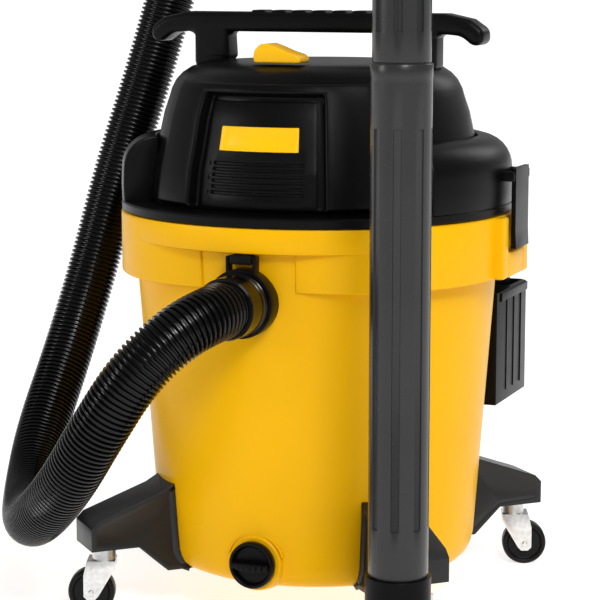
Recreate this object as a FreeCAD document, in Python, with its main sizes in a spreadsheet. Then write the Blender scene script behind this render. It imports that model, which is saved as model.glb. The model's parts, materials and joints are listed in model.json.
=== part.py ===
import FreeCAD, Part
import math
import os
import re
import Sketcher
from FreeCAD import Placement, Rotation, Vector

# Shop vacuum. Millimetres, +Z up, front towards -Y, origin at the centre of the tank's flat underside.

doc = FreeCAD.newDocument("shop_vacuum")
sheet = doc.addObject("Spreadsheet::Sheet", "dims")
aliases = []


def dim(alias, value, meaning):
    """One driving size: its name, its number in mm or degrees or a formula, and what it measures."""
    aliases.append(alias)
    row = len(aliases)
    sheet.set(f"A{row}", meaning)
    sheet.set(f"B{row}", f"={value}")
    sheet.setAlias(f"B{row}", alias)


# Tank
dim("floor_gap", 46, "floor to the tank's underside")
dim("tank_height", 397, "underside to rim")
dim("tank_top_radius", 207, "outer radius at the rim")
dim("tank_base_radius", "tank_top_radius - 29", "outer radius at the foot, above the rounded corner")
dim("tank_corner", 24, "size of the corner between wall and underside")
dim("tank_wall", 3, "wall of the tank")
dim("rim_radius", "tank_top_radius + 12", "outer radius of the rim band")
dim("rim_depth", 27, "height of the rim band at the front")
dim("skirt_depth", 68, "height of the skirts at the sides")
dim("skirt_angle", 112, "sweep of each side skirt")
dim("pad_reach", "rim_radius + 9", "how far each latch pad stands out from the centre")
dim("pad_width", 95, "width of each latch pad")
dim("latch_shift", 18, "latches and pads sit this far behind the middle")
dim("fit_gap", 0.3, "gap between moulded pieces")
dim("running_gap", 0.05, "radial clearance of a pin or shaft")
# Inlet and drain
dim("inlet_level", 318, "height of the inlet's axis")
dim("inlet_bore", 32, "inner radius of the inlet")
dim("inlet_pipe", 34.5, "outer radius of the inlet's pipe")
dim("inlet_flange", 36.5, "outer radius of the inlet's ring")
dim("inlet_reach", "tank_top_radius + 15", "front of the inlet's ring, from the centre")
dim("drain_level", 30, "height of the drain's axis")
dim("drain_bore", 20, "inner radius of the drain")
dim("drain_boss", 26.5, "outer radius of the drain's boss")
dim("drain_reach", "tank_base_radius + 6", "front of the drain's boss, from the centre")
# Feet and casters
dim("foot_reach", "tank_base_radius + 102", "end of a foot, from the centre")
dim("foot_width", 56, "width of a foot")
dim("stem_radius", "foot_reach - 23", "caster stem, from the centre")
dim("foot_screw_level", 60, "height of the foot screws")
dim("foot_root_top", 100, "top of a foot at the tank")
dim("foot_end_top", 66, "top of a foot at its end")
dim("foot_end_base", 32, "underside of a foot at its end")
dim("wheel_radius", 26, "caster wheel")
dim("wheel_width", 20, "caster wheel")
dim("caster_trail", 14, "axle behind the stem")
dim("axle_radius", 3, "caster axle")
dim("fork_gap", 24, "inner width of a fork")
dim("fork_sheet", 2.5, "thickness of a fork's sheet")
dim("stem_pin", 5, "radius of a caster's stem")
# Head
dim("collar_radius", "rim_radius - 29", "inner radius of the collar under the lid")
dim("collar_wall", 6, "wall of that collar")
dim("lid_edge", 11, "height of the lid's edge")
dim("deck_sheet", 4, "thickness of the lid's deck")
dim("intake_radius", 40, "hole in the deck that air is drawn through")
dim("shoulder_top", "tank_height + 83", "top of the lid's raised shoulder")
dim("shoulder_angle", 250, "sweep of the raised shoulder, open at the front")
dim("shell_wall", 3, "wall of the moulded shells")
dim("cover_radius", "rim_radius - 31", "motor cover at its foot")
dim("cover_waist", "rim_radius - 43", "motor cover at the shoulder's top")
dim("cover_top", "tank_height + 163", "top of the motor cover")
dim("panel_width", 146, "front panel")
dim("panel_top", "cover_top - 29", "top of the front panel")
dim("panel_sheet", 4, "thickness of the front panel")
dim("handle_length", "2 * cover_radius + 18", "carry handle, tip to tip")
dim("handle_top", "cover_top + 54", "top of the handle's bar")
dim("handle_bar", 22, "thickness of the handle's bar")
dim("handle_width", 34, "front to back")
dim("post_outer", "cover_waist - 30", "outer face of a handle post, from the middle")
dim("post_inner", "cover_waist - 73", "inner face of a handle post, from the middle")
dim("latch_width", 50, "width of a latch")
dim("latch_top", "tank_height + 52", "top edge of a latch")
dim("latch_base", "tank_height - 36", "bottom edge of a latch")
dim("latch_sheet", 5, "thickness of a latch")
dim("latch_pin", 1.5, "radius of a latch's pin")
dim("pin_level", "tank_height + 43", "height of a latch's pin")
dim("paddle_width", 50, "switch paddle, left to right")
dim("paddle_depth", 34, "switch paddle, front to back")
dim("paddle_front", "cover_waist - 71", "middle of the paddle, in front of the centre")
dim("pivot_pin", 1.5, "radius of the paddle's pin")
dim("pivot_level", "cover_top + 10", "height of the paddle's pivot")
# Motor and filter
dim("fan_radius", 79, "outer radius of the fan housing")
dim("fan_height", 55, "height of the fan housing")
dim("impeller_radius", 72, "impeller")
dim("motor_radius", 48, "motor can")
dim("motor_top", "cover_top - 19", "top of the motor can")
dim("stator_bore", 30, "inside of the stator")
dim("rotor_radius", 28, "armature")
dim("shaft_radius", 4, "motor shaft")
dim("bearing_radius", 10, "outer radius of a bearing")
dim("bearing_height", 8, "height of a bearing")
dim("cage_radius", 60, "filter cage")
dim("cage_drop", 124, "depth of the filter cage below the deck")
dim("filter_radius", 82, "filter cartridge")
dim("float_radius", 22, "float ball")
dim("float_travel", 20, "rise of the float ball")
dim("gland_side", 90, "cord gland, to the left of the middle")
dim("blower_level", "tank_height + 43", "height of the blower port's axis")
dim("blower_bore", 31, "inner radius of the blower port")
dim("blower_reach", "rim_radius + 19", "end of the blower port, from the centre")
# Caddy
dim("caddy_width", 360, "accessory caddy")
dim("caddy_depth", "tank_top_radius + 33", "back of the caddy, from the centre")
dim("caddy_base", 160, "underside of the caddy")
dim("caddy_top", 291, "top of the caddy")
dim("tray_width", 216, "open tray in the middle of the caddy")
dim("tray_depth", 29, "open tray, front to back")
dim("slot_side", 149, "tool slot, to the right of the middle")
dim("slot_back", "caddy_depth - 30", "tool slot, behind the centre")
dim("slot_size", 48, "side of the tool slot")
dim("tool_collar", 34, "radius of the crevice tool's collar")
# Hose and wand
dim("hose_radius", 30, "outer radius of the hose")
dim("hose_start", "inlet_reach + 18", "start of the hose, in front of the centre")
dim("wand_side", 200, "wand, to the right of the middle")
dim("wand_front", 290, "wand, in front of the centre")
dim("wand_radius", 28.5, "outer radius of the upper tube")
dim("wand_lower_radius", 30, "outer radius of the lower tube")
dim("wand_wall", 2, "wall of the tubes")
dim("neck_top", 69, "bottom of the lower tube")
dim("wand_joint", 574, "where the two tubes meet")
dim("wand_top", 1066, "top of the upper tube")
dim("hose_end", "wand_top + 34", "upper end of the hose, above the wand")
dim("nozzle_width", 250, "floor nozzle, left to right")
dim("nozzle_depth", 74, "floor nozzle, front to back")
doc.recompute()


def bound(text):
    """An expression over the sheet: each size's name gets the sheet's name in front."""
    return re.sub(r"[a-z_]+", lambda m: "dims." + m.group(0) if m.group(0) in aliases else m.group(0), text)


def value(text):
    return float(sheet.evalExpression(bound(text)))


def origin_plane(body, role):
    return next(item for item in body.Origin.OriginFeatures if item.Role == role)


def outline(body, name, role, corners, lift=None):
    """Closed outline of straight edges on one of the body's planes, every corner tied to the sheet."""
    sketch = body.newObject("Sketcher::SketchObject", name)
    sketch.AttachmentSupport = [(origin_plane(body, role), "")]
    sketch.MapMode = "FlatFace"
    if lift:
        sketch.setExpression("AttachmentOffset.Base.z", bound(lift))
    spots = [Vector(value(across), value(up), 0) for across, up in corners]
    count = len(spots)
    for i in range(count):
        sketch.addGeometry(Part.LineSegment(spots[i], spots[(i + 1) % count]))
    for i in range(count):
        sketch.addConstraint(Sketcher.Constraint("Coincident", i, 2, (i + 1) % count, 1))
    for i, (across, up) in enumerate(corners):
        for kind, text, start in (("DistanceX", across, spots[i].x), ("DistanceY", up, spots[i].y)):
            index = sketch.addConstraint(Sketcher.Constraint(kind, -1, 1, i, 1, start))
            sketch.setExpression(f"Constraints[{index}]", bound(text))
    return sketch


def place(item, spot=("0", "0", "0"), axis=Vector(0, 0, 1), angle=0):
    """Sets where a piece stands: its turn, then its distances from the origin, tied to the sheet."""
    item.Placement = Placement(Vector(0, 0, 0), Rotation(axis, angle))
    for letter, text in zip("xyz", spot):
        if text != "0":
            item.setExpression(f"Placement.Base.{letter}", bound(text))
    return item


def new_body(label):
    body = doc.addObject("PartDesign::Body", label)
    body.Label = label
    return body


def spin(body, name, corners, angle="360", cut=False):
    """Adds, or cuts, the outline turned about the body's own Z axis, half of the sweep each side."""
    sketch = outline(body, name + "_outline", "YZ_Plane", corners)
    feature = body.newObject("PartDesign::Groove" if cut else "PartDesign::Revolution", name)
    feature.Profile = sketch
    feature.ReferenceAxis = (sketch, ["V_Axis"])
    feature.Midplane = True
    feature.setExpression("Angle", bound(angle))
    return feature


def raise_up(body, name, role, corners, length, lift=None, middle=False, cut=False):
    """Adds, or cuts, the outline pushed square to its plane by a length."""
    sketch = outline(body, name + "_outline", role, corners, lift)
    feature = body.newObject("PartDesign::Pocket" if cut else "PartDesign::Pad", name)
    feature.Profile = sketch
    feature.setExpression("Length", bound(length))
    feature.Reversed = cut
    if middle:
        feature.SideType = "Symmetric"
    return feature


def round_feature(body, name, role, spot, radius, length, lift=None, cut=False):
    """Adds, or cuts, a round boss or hole square to a plane."""
    sketch = body.newObject("Sketcher::SketchObject", name + "_circle")
    sketch.AttachmentSupport = [(origin_plane(body, role), "")]
    sketch.MapMode = "FlatFace"
    if lift:
        sketch.setExpression("AttachmentOffset.Base.z", bound(lift))
    centre = Vector(value(spot[0]), value(spot[1]), 0)
    sketch.addGeometry(Part.Circle(centre, Vector(0, 0, 1), value(radius)))
    for kind, text, start in (("DistanceX", spot[0], centre.x), ("DistanceY", spot[1], centre.y)):
        index = sketch.addConstraint(Sketcher.Constraint(kind, -1, 1, 0, 3, start))
        sketch.setExpression(f"Constraints[{index}]", bound(text))
    index = sketch.addConstraint(Sketcher.Constraint("Radius", 0, value(radius)))
    sketch.setExpression(f"Constraints[{index}]", bound(radius))
    feature = body.newObject("PartDesign::Pocket" if cut else "PartDesign::Pad", name)
    feature.Profile = sketch
    feature.setExpression("Length", bound(length))
    feature.Reversed = cut
    return feature


def box_corners(low, high):
    return [(low[0], low[1]), (high[0], low[1]), (high[0], high[1]), (low[0], high[1])]


def turned(label, corners):
    """A sub-part that is one outline turned about its own Z axis."""
    body = new_body(label)
    spin(body, label + "_turn", corners)
    return body


def cylinder(name, radius, height, spot, axis=Vector(0, 0, 1), angle=0):
    item = doc.addObject("Part::Cylinder", name)
    item.setExpression("Radius", bound(radius))
    item.setExpression("Height", bound(height))
    return place(item, spot, axis, angle)


def block(name, sides, spot):
    """A box standing on the given point, which is the middle of its underside."""
    item = doc.addObject("Part::Box", name)
    for side, text in zip(("Length", "Width", "Height"), sides):
        item.setExpression(side, bound(text))
    middle = (f"{spot[0]} - ({sides[0]}) / 2", f"{spot[1]} - ({sides[1]}) / 2", spot[2])
    return place(item, middle)


def joined(label, pieces):
    item = doc.addObject("Part::MultiFuse", label)
    item.Shapes = pieces
    item.Label = label
    return item


def grouped(label, pieces):
    """Separate solids that share one node."""
    item = doc.addObject("Part::Compound", label)
    item.Links = pieces
    item.Label = label
    return item


FORWARD = (Vector(1, 0, 0), 90)  # turns a piece's own Z axis towards the front, -Y
BACKWARD = (Vector(1, 0, 0), -90)  # turns it towards the back, +Y
WALL_SLOPE = "(tank_top_radius - tank_base_radius) / tank_height"
LID_BASE = "tank_height + fit_gap"
DECK_TOP = LID_BASE + " + deck_sheet"


def wall_radius(level):
    """Outer radius of the tank's wall at a height."""
    return f"(tank_base_radius + ({WALL_SLOPE}) * ({level}))"


# ---------------------------------------------------------------- tank and what is fixed to it
def make_tank():
    body = new_body("tank")
    band = "tank_height - rim_depth"
    skirt = "tank_height - skirt_depth"
    spin(body, "tank_shell", [
        ("0", "0"),
        ("tank_base_radius - tank_corner", "0"),
        ("tank_base_radius - tank_corner * 0.3", "tank_corner * 0.3"),
        (wall_radius("tank_corner"), "tank_corner"),
        (wall_radius(band), band),
        ("rim_radius", band),
        ("rim_radius", "tank_height"),
        ("tank_top_radius - tank_wall", "tank_height"),
        (wall_radius("tank_corner") + " - tank_wall", "tank_corner"),
        ("tank_base_radius - tank_corner - tank_wall * 0.4", "tank_wall"),
        ("0", "tank_wall"),
    ])
    # Skirts hang from the rim band on both sides, and a latch pad stands out from each.
    for side, role in (("right", 1), ("left", -1)):
        inner = f"{role} * (rim_radius - tank_wall)"
        outer = f"{role} * rim_radius"
        sketch = outline(body, side + "_skirt_outline", "XZ_Plane",
                         box_corners((inner, skirt), (outer, band + " + 1")))
        skirt_turn = body.newObject("PartDesign::Revolution", side + "_skirt")
        skirt_turn.Profile = sketch
        skirt_turn.ReferenceAxis = (sketch, ["V_Axis"])
        skirt_turn.Midplane = True
        skirt_turn.setExpression("Angle", bound("skirt_angle"))
        raise_up(body, side + "_pad", "XY_Plane",
                 box_corners((f"{role} * (rim_radius - 14)", "latch_shift - pad_width / 2"),
                             (f"{role} * pad_reach", "latch_shift + pad_width / 2")),
                 "skirt_depth - 1", lift=skirt)
    # Inlet hole, drain boss and drain hole, all in the front wall.
    hole = round_feature(body, "inlet_hole", "XZ_Plane", ("0", "inlet_level"), "inlet_pipe + fit_gap",
                         "rim_radius", cut=True)
    hole.Reversed = True
    boss = round_feature(body, "drain_boss_pad", "XZ_Plane", ("0", "drain_level"), "drain_boss",
                         "drain_reach - tank_base_radius + 12", lift="tank_base_radius - 12")
    boss.Reversed = False
    bore = round_feature(body, "drain_hole", "XZ_Plane", ("0", "drain_level"), "drain_bore",
                         "rim_radius", cut=True)
    bore.Reversed = True


def make_feet():
    """Four outriggers: one arm, copied to the corners, each with the tank's wall cut from its root."""
    for name, angle in (("front_right", -45), ("rear_right", 45), ("rear_left", 135), ("front_left", 225)):
        body = new_body("caster_foot_" + name)
        root = "tank_base_radius - 16"
        raise_up(body, f"arm_{name}", "XZ_Plane", [
            (root, "2"),
            ("tank_base_radius + 14", "2"),
            ("stem_radius - 32", "foot_end_base"),
            ("foot_reach", "foot_end_base"),
            ("foot_reach", "foot_end_top - 8"),
            ("foot_reach - 8", "foot_end_top"),
            ("tank_base_radius + 20", "foot_root_top - 8"),
            ("tank_base_radius + 6", "foot_root_top"),
            (root, "foot_root_top"),
        ], "foot_width", middle=True)
        spin(body, f"seat_{name}", [
            ("0", "0"),
            ("tank_base_radius - tank_corner + 2 * fit_gap", "0"),
            ("tank_base_radius - tank_corner * 0.3 + 2 * fit_gap", "tank_corner * 0.3"),
            (wall_radius("tank_corner") + " + fit_gap", "tank_corner"),
            (wall_radius("foot_root_top") + " + fit_gap", "foot_root_top + 1"),
            ("0", "foot_root_top + 1"),
        ], cut=True)
        stem = round_feature(body, f"stem_hole_{name}", "XY_Plane", ("stem_radius", "0"),
                             "stem_pin + running_gap", "16.5", lift="foot_end_base", cut=True)
        stem.Reversed = True
        place(body, angle=angle)


def make_foot_screws():
    pieces = []
    for angle in (-45, 45, 135, 225):
        for across in (-14, 14):
            start = value(wall_radius("foot_screw_level")) - value("tank_wall") - 0.4
            for name, radius, length, back in (("head", "4", "3", 3), ("shank", "2", "22", 0)):
                label = f"foot_screw_{name}_{angle + 45}_{across + 14}"
                screw = cylinder(label, radius, length, ("0", "0", "0"))
                turn = Rotation(Vector(0, 0, 1), angle)
                spot = turn.multVec(Vector(start - back, across, value("foot_screw_level")))
                screw.Placement = Placement(spot, turn.multiply(Rotation(Vector(0, 1, 0), 90)))
                pieces.append(screw)
    grouped("foot_screws", [joined(f"foot_screw_{i}", pieces[2 * i:2 * i + 2]) for i in range(8)])


def make_inlet():
    # The port's pipe passes through the wall; its ring stands in front, with two ears for the lock button.
    pipe = turned("inlet_port_ring", [
        ("inlet_bore", "inlet_reach - 36"), ("inlet_pipe", "inlet_reach - 36"),
        ("inlet_pipe", "inlet_reach - 17"), ("inlet_flange", "inlet_reach - 17"),
        ("inlet_flange", "inlet_reach"), ("inlet_bore", "inlet_reach"),
    ])
    place(pipe, ("0", "0", "inlet_level"), *FORWARD)
    ears = []
    for side in (-1, 1):
        ears.append(block("inlet_ear_left" if side < 0 else "inlet_ear_right", ("3", "12", "18"),
                          (f"{side} * 15", "-(inlet_reach - 9)", "inlet_level + inlet_flange - 5")))
    joined("inlet_port", [pipe] + ears)
    # Lock button between the ears.
    button = block("inlet_lock", ("25", "14", "10"),
                   ("0", "-(inlet_reach - 9)", "inlet_level + inlet_flange + 4.5"))
    button.Label = "inlet_lock"
    # Elbow inside that throws what comes in downwards.
    elbow = new_body("inlet_deflector")
    raise_up(elbow, "deflector_hood", "YZ_Plane", [
        ("-(inlet_reach - 36)", "inlet_level + 39"), ("-(inlet_reach - 36)", "inlet_level + 36"),
        ("-(inlet_reach - 72)", "inlet_level + 36"), ("-(filter_radius + 30)", "inlet_level + 6"),
        ("-(filter_radius + 30)", "inlet_level - 34"), ("-(filter_radius + 27)", "inlet_level - 34"),
        ("-(filter_radius + 27)", "inlet_level + 8"), ("-(inlet_reach - 73)", "inlet_level + 39"),
    ], "2 * inlet_flange + 1", middle=True)


def make_drain():
    cap = turned("drain_cap_plug", [
        ("0", "drain_reach - 12"), ("drain_bore - fit_gap", "drain_reach - 12"),
        ("drain_bore - fit_gap", "drain_reach + 2.3"), ("drain_boss - 1", "drain_reach + 2.3"),
        ("drain_boss - 1", "drain_reach + 9"), ("drain_boss - 3", "drain_reach + 11"),
        ("0", "drain_reach + 11"),
    ])
    place(cap, ("0", "0", "drain_level"), *FORWARD)
    grip = block("drain_grip", ("2 * drain_boss - 10", "10", "9"),
                 ("0", "-(drain_reach + 15)", "drain_level - 4.5"))
    joined("drain_cap", [cap, grip])
    seal = turned("drain_seal", [
        ("drain_bore", "drain_reach + 0.3"), ("drain_boss - 2", "drain_reach + 0.3"),
        ("drain_boss - 2", "drain_reach + 2.3"), ("drain_bore", "drain_reach + 2.3"),
    ])
    place(seal, ("0", "0", "drain_level"), *FORWARD)


def make_caddy():
    """Holder on the back wall: a tool slot at the right and at the left, a wide tray between them."""
    body = new_body("caddy")
    half = "caddy_width / 2"
    root = "tank_base_radius - 68"
    raise_up(body, "caddy_block", "XY_Plane", [
        (f"-({half})", root), (half, root), (half, "caddy_depth - 8"), (f"{half} - 8", "caddy_depth"),
        (f"-({half} - 8)", "caddy_depth"), (f"-({half})", "caddy_depth - 8"),
    ], "caddy_top - caddy_base", lift="caddy_base")
    spin(body, "caddy_seat", [
        ("0", "caddy_base - 1"), (wall_radius("caddy_base - 1") + " + fit_gap", "caddy_base - 1"),
        (wall_radius("caddy_top + 1") + " + fit_gap", "caddy_top + 1"), ("0", "caddy_top + 1"),
    ], cut=True)
    for name, middle, wide, front in (("right", "slot_side", "slot_size", "slot_back - slot_size / 2"),
                                      ("left", "-slot_side", "slot_size", "slot_back - slot_size / 2"),
                                      ("middle", "0", "tray_width", "caddy_depth - 4 - tray_depth")):
        tray = raise_up(body, "tray_" + name, "XY_Plane",
                        box_corners((f"{middle} - {wide} / 2", front),
                                    (f"{middle} + {wide} / 2", "caddy_depth - 4")),
                        "caddy_top - caddy_base", lift="caddy_base + 4", cut=True)
        tray.Reversed = True
    screws = []
    for across in (-30, 30):
        level = "caddy_top - 20"
        reach = value(wall_radius(level)) - value("tank_wall") - 1.2
        for name, radius, length, back in (("head", "4", "3", 3), ("shank", "2", "9", 0)):
            screw = cylinder(f"caddy_screw_{name}_{across + 30}", radius, length, ("0", "0", "0"))
            turn = Rotation(Vector(0, 0, 1), -across / 3)
            spot = turn.multVec(Vector(0, reach - back, value(level)))
            screw.Placement = Placement(spot, turn.multiply(Rotation(*BACKWARD)))
            screws.append(screw)
    grouped("caddy_screws", [joined(f"caddy_screw_{i}", screws[2 * i:2 * i + 2]) for i in range(2)])
    # Crevice tool standing in the right slot, its ribbed collar above the skirt's level.
    place(turned("crevice_tool", [
        ("0", "caddy_base + 5"), ("10", "caddy_base + 5"), ("16", "caddy_top"),
        ("20", "tank_height - 42"), ("tool_collar", "tank_height - 40"), ("tool_collar", "tank_height"),
        ("tool_collar - 3", "tank_height"), ("tool_collar - 3", "tank_height - 34"),
        ("0", "tank_height - 34"),
    ]), ("slot_side", "slot_back", "0"))


# ---------------------------------------------------------------- head
def make_lid():
    body = new_body("lid")
    top = f"({LID_BASE} + lid_edge)"
    spin(body, "lid_deck", [
        ("intake_radius", LID_BASE), ("collar_radius", LID_BASE), ("collar_radius", LID_BASE + " - 12"),
        ("collar_radius + collar_wall", LID_BASE + " - 12"), ("collar_radius + collar_wall", LID_BASE),
        ("rim_radius", LID_BASE), ("rim_radius", top), ("collar_radius", top),
        ("collar_radius", DECK_TOP), ("intake_radius", DECK_TOP),
    ])
    spin(body, "lid_shoulder", [
        ("rim_radius", top + " - 1"), ("rim_radius", "shoulder_top - 36"),
        ("rim_radius - 10", "shoulder_top - 14"), ("rim_radius - 26", "shoulder_top"),
        ("cover_waist + 3", "shoulder_top"),
        ("cover_waist + 3", "shoulder_top - shell_wall"), ("rim_radius - 28", "shoulder_top - shell_wall"),
        ("rim_radius - 13", "shoulder_top - 17"), ("rim_radius - shell_wall", "shoulder_top - 38"),
        ("rim_radius - shell_wall", top + " - 1"),
    ], angle="shoulder_angle")
    # Two lugs each side carry a latch's pin.
    for role, side in ((1, "right"), (-1, "left")):
        for end, word in ((1, "back"), (-1, "front")):
            inner = f"latch_shift + {end} * (latch_width / 2 + 1)"
            outer = f"latch_shift + {end} * (latch_width / 2 + 6)"
            raise_up(body, f"lug_{side}_{word}", "XY_Plane",
                     box_corners((f"{role} * (rim_radius - 8)", inner), (f"{role} * (pad_reach + 8)", outer)),
                     "16", lift="pin_level - 8")
    port = round_feature(body, "blower_hole", "XZ_Plane", ("0", "blower_level"),
                         "blower_bore + 2.5 + fit_gap", "rim_radius + 5", cut=True)
    port.Reversed = False
    inner = "collar_radius + collar_wall"
    turned("lid_seal", [
        (inner, LID_BASE + " - 9"), ("tank_top_radius - tank_wall - 1.2", LID_BASE + " - 9"),
        ("tank_top_radius - tank_wall - 0.8", LID_BASE + " - 3"), (inner, LID_BASE + " - 3"),
    ])


def cover_skin(offset):
    """Outline of the motor cover's outer face, moved outwards by an offset."""
    return [
        (f"cover_radius + {offset}", DECK_TOP), (f"cover_radius - 1 + {offset}", DECK_TOP + " + 19"),
        (f"cover_waist + {offset}", "shoulder_top"), (f"cover_waist - 11 + {offset}", "shoulder_top + 40"),
        (f"cover_waist - 25 + {offset}", "cover_top - 14"),
        (f"cover_waist - 44 + {offset}", f"cover_top + {offset}"),
    ]


def make_cover():
    body = new_body("motor_cover")
    inner = cover_skin("-shell_wall")
    crown = [("0", "cover_top"), ("0", "cover_top - shell_wall")]
    spin(body, "cover_shell", cover_skin("0") + crown + inner[::-1])
    # Window in the top for the switch, and a round window at the back for the blower port.
    window = raise_up(body, "switch_window", "XY_Plane",
                      box_corners(("-(paddle_width / 2 + 5)", "-(paddle_front + 10)"),
                                  ("paddle_width / 2 + 5", "-(paddle_front - 10)")),
                      "40", lift="cover_top - 20", cut=True)
    window.Reversed = True
    port = round_feature(body, "cover_port_hole", "XZ_Plane", ("0", "blower_level"),
                         "blower_bore + 2.5 + fit_gap", "rim_radius", cut=True)
    port.Reversed = False


def skin_plate(label, near, far, wide, low, high):
    """A thin plate that follows the front of the motor cover, between two offsets from its face."""
    shell = turned(label + "_shell", cover_skin(near) + cover_skin(far)[::-1])
    window = block(label + "_window", (wide, "cover_radius", f"{high} - ({low})"),
                   ("0", "-(cover_radius + 10 - cover_radius / 4)", low))
    plate = doc.addObject("Part::Common", label)
    plate.Base = shell
    plate.Tool = window
    plate.Label = label
    return plate


def make_front():
    skin_plate("front_panel", "0.1", "panel_sheet", "panel_width", DECK_TOP + " + lid_edge", "panel_top")
    skin_plate("badge", "panel_sheet + 0.1", "panel_sheet + 1.6", "96", "shoulder_top - 8", "shoulder_top + 18")


def make_handle():
    """A bar with drooping ends on two posts: the right half's outline, then the same mirrored."""
    body = new_body("handle")
    tip = "handle_length / 2"
    under = "handle_top - handle_bar"
    foot = "cover_top + 0.1"
    half = [
        (f"{tip} - 44", "handle_top"), (f"{tip} - 16", "handle_top - 6"), (tip, "handle_top - 17"),
        (tip, "handle_top - 32"), (f"{tip} - 12", "handle_top - 35"), (f"{tip} - 26", under + " - 2"),
        ("post_outer", under), ("post_outer - 14", foot), ("post_inner - 2", foot), ("post_inner", under),
    ]
    mirrored = [(f"-({across})", up) for across, up in reversed(half)]
    raise_up(body, "handle_bar_pad", "XZ_Plane", half + mirrored, "handle_width", middle=True)


def make_cover_screws():
    pieces = []
    for i in range(4):
        turn = Rotation(Vector(0, 0, 1), 45 + 90 * i)
        spot = turn.multVec(Vector(value("cover_radius") - 1.5, 0, value(LID_BASE)))
        head = cylinder(f"cover_screw_head_{i}", "4", "3", ("0", "0", "0"))
        head.Placement = Placement(spot - Vector(0, 0, 3), Rotation())
        shank = cylinder(f"cover_screw_shank_{i}", "1.4", "16", ("0", "0", "0"))
        shank.Placement = Placement(spot, Rotation())
        pieces.append(joined(f"cover_screw_{i}", [head, shank]))
    grouped("cover_screws", pieces)


def make_switch():
    # The switch's box fills the window from below; its two cheeks hold the paddle's pivot.
    base = block("switch_box_base", ("paddle_width + 10 - 2 * fit_gap", "20 - 2 * fit_gap", "24"),
                 ("0", "-paddle_front", "cover_top - 24"))
    cheeks = [block(f"switch_cheek_{word}", ("3", "10", "pivot_level + 4 - cover_top"),
                    (f"{side} * (paddle_width / 2 + 2)", "-paddle_front", "cover_top"))
              for side, word in ((-1, "left"), (1, "right"))]
    pin = cylinder("switch_pin", "pivot_pin", "paddle_width + 2",
                   ("-(paddle_width / 2 + 1)", "-paddle_front", "pivot_level"), Vector(0, 1, 0), 90)
    joined("switch_box", [base, pin] + cheeks)
    # Paddle: a hollow rocker over the pin, with a high front and a slim tip.
    body = new_body("switch_paddle")
    near = "-(paddle_front + paddle_depth / 2)"
    far = "-(paddle_front - paddle_depth / 2)"
    raise_up(body, "paddle_pad", "YZ_Plane", [
        (near, "pivot_level - 5"), (far, "pivot_level - 5"), (far, "pivot_level"),
        ("-(paddle_front - 4)", "pivot_level + 9"), ("-(paddle_front + 8)", "pivot_level + 8"),
        (near, "pivot_level"),
    ], "paddle_width - 1", middle=True)
    hole = round_feature(body, "paddle_bore", "YZ_Plane", ("-paddle_front", "pivot_level"),
                         "pivot_pin + running_gap", "2 * paddle_width", cut=True)
    hole.SideType = "Symmetric"


def make_latch(side, role):
    """A flat plate with a pin hole near its top; its foot swings away from the tank."""
    body = new_body("latch_" + side)
    inner = f"{role} * (pad_reach + 1)"
    outer = f"{role} * (pad_reach + 1 + latch_sheet)"
    pad = raise_up(body, f"latch_plate_{side}", "XZ_Plane",
                   [(inner, "latch_base"), (f"{role} * (pad_reach + 2 + latch_sheet)", "latch_base"),
                    (outer, "latch_base + 20"), (outer, "latch_top"), (inner, "latch_top")],
                   "latch_width", lift="-latch_shift - latch_width / 2")
    pad.Reversed = False
    pivot = f"{role} * (pad_reach + 1 + latch_sheet / 2)"
    hole = round_feature(body, f"latch_hole_{side}", "XZ_Plane", (pivot, "pin_level"), "latch_pin + running_gap",
                         "3 * latch_width", lift="-latch_shift", cut=True)
    hole.SideType = "Symmetric"
    return cylinder(f"latch_pin_{side}", "latch_pin", "latch_width + 2",
                    (pivot, "latch_shift + latch_width / 2 + 1", "pin_level"), *FORWARD)


# ---------------------------------------------------------------- motor, fan and filter
FAN_BASE = f"({DECK_TOP} + 0.2)"
FAN_TOP = f"({DECK_TOP} + 0.2 + fan_height)"


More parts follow.
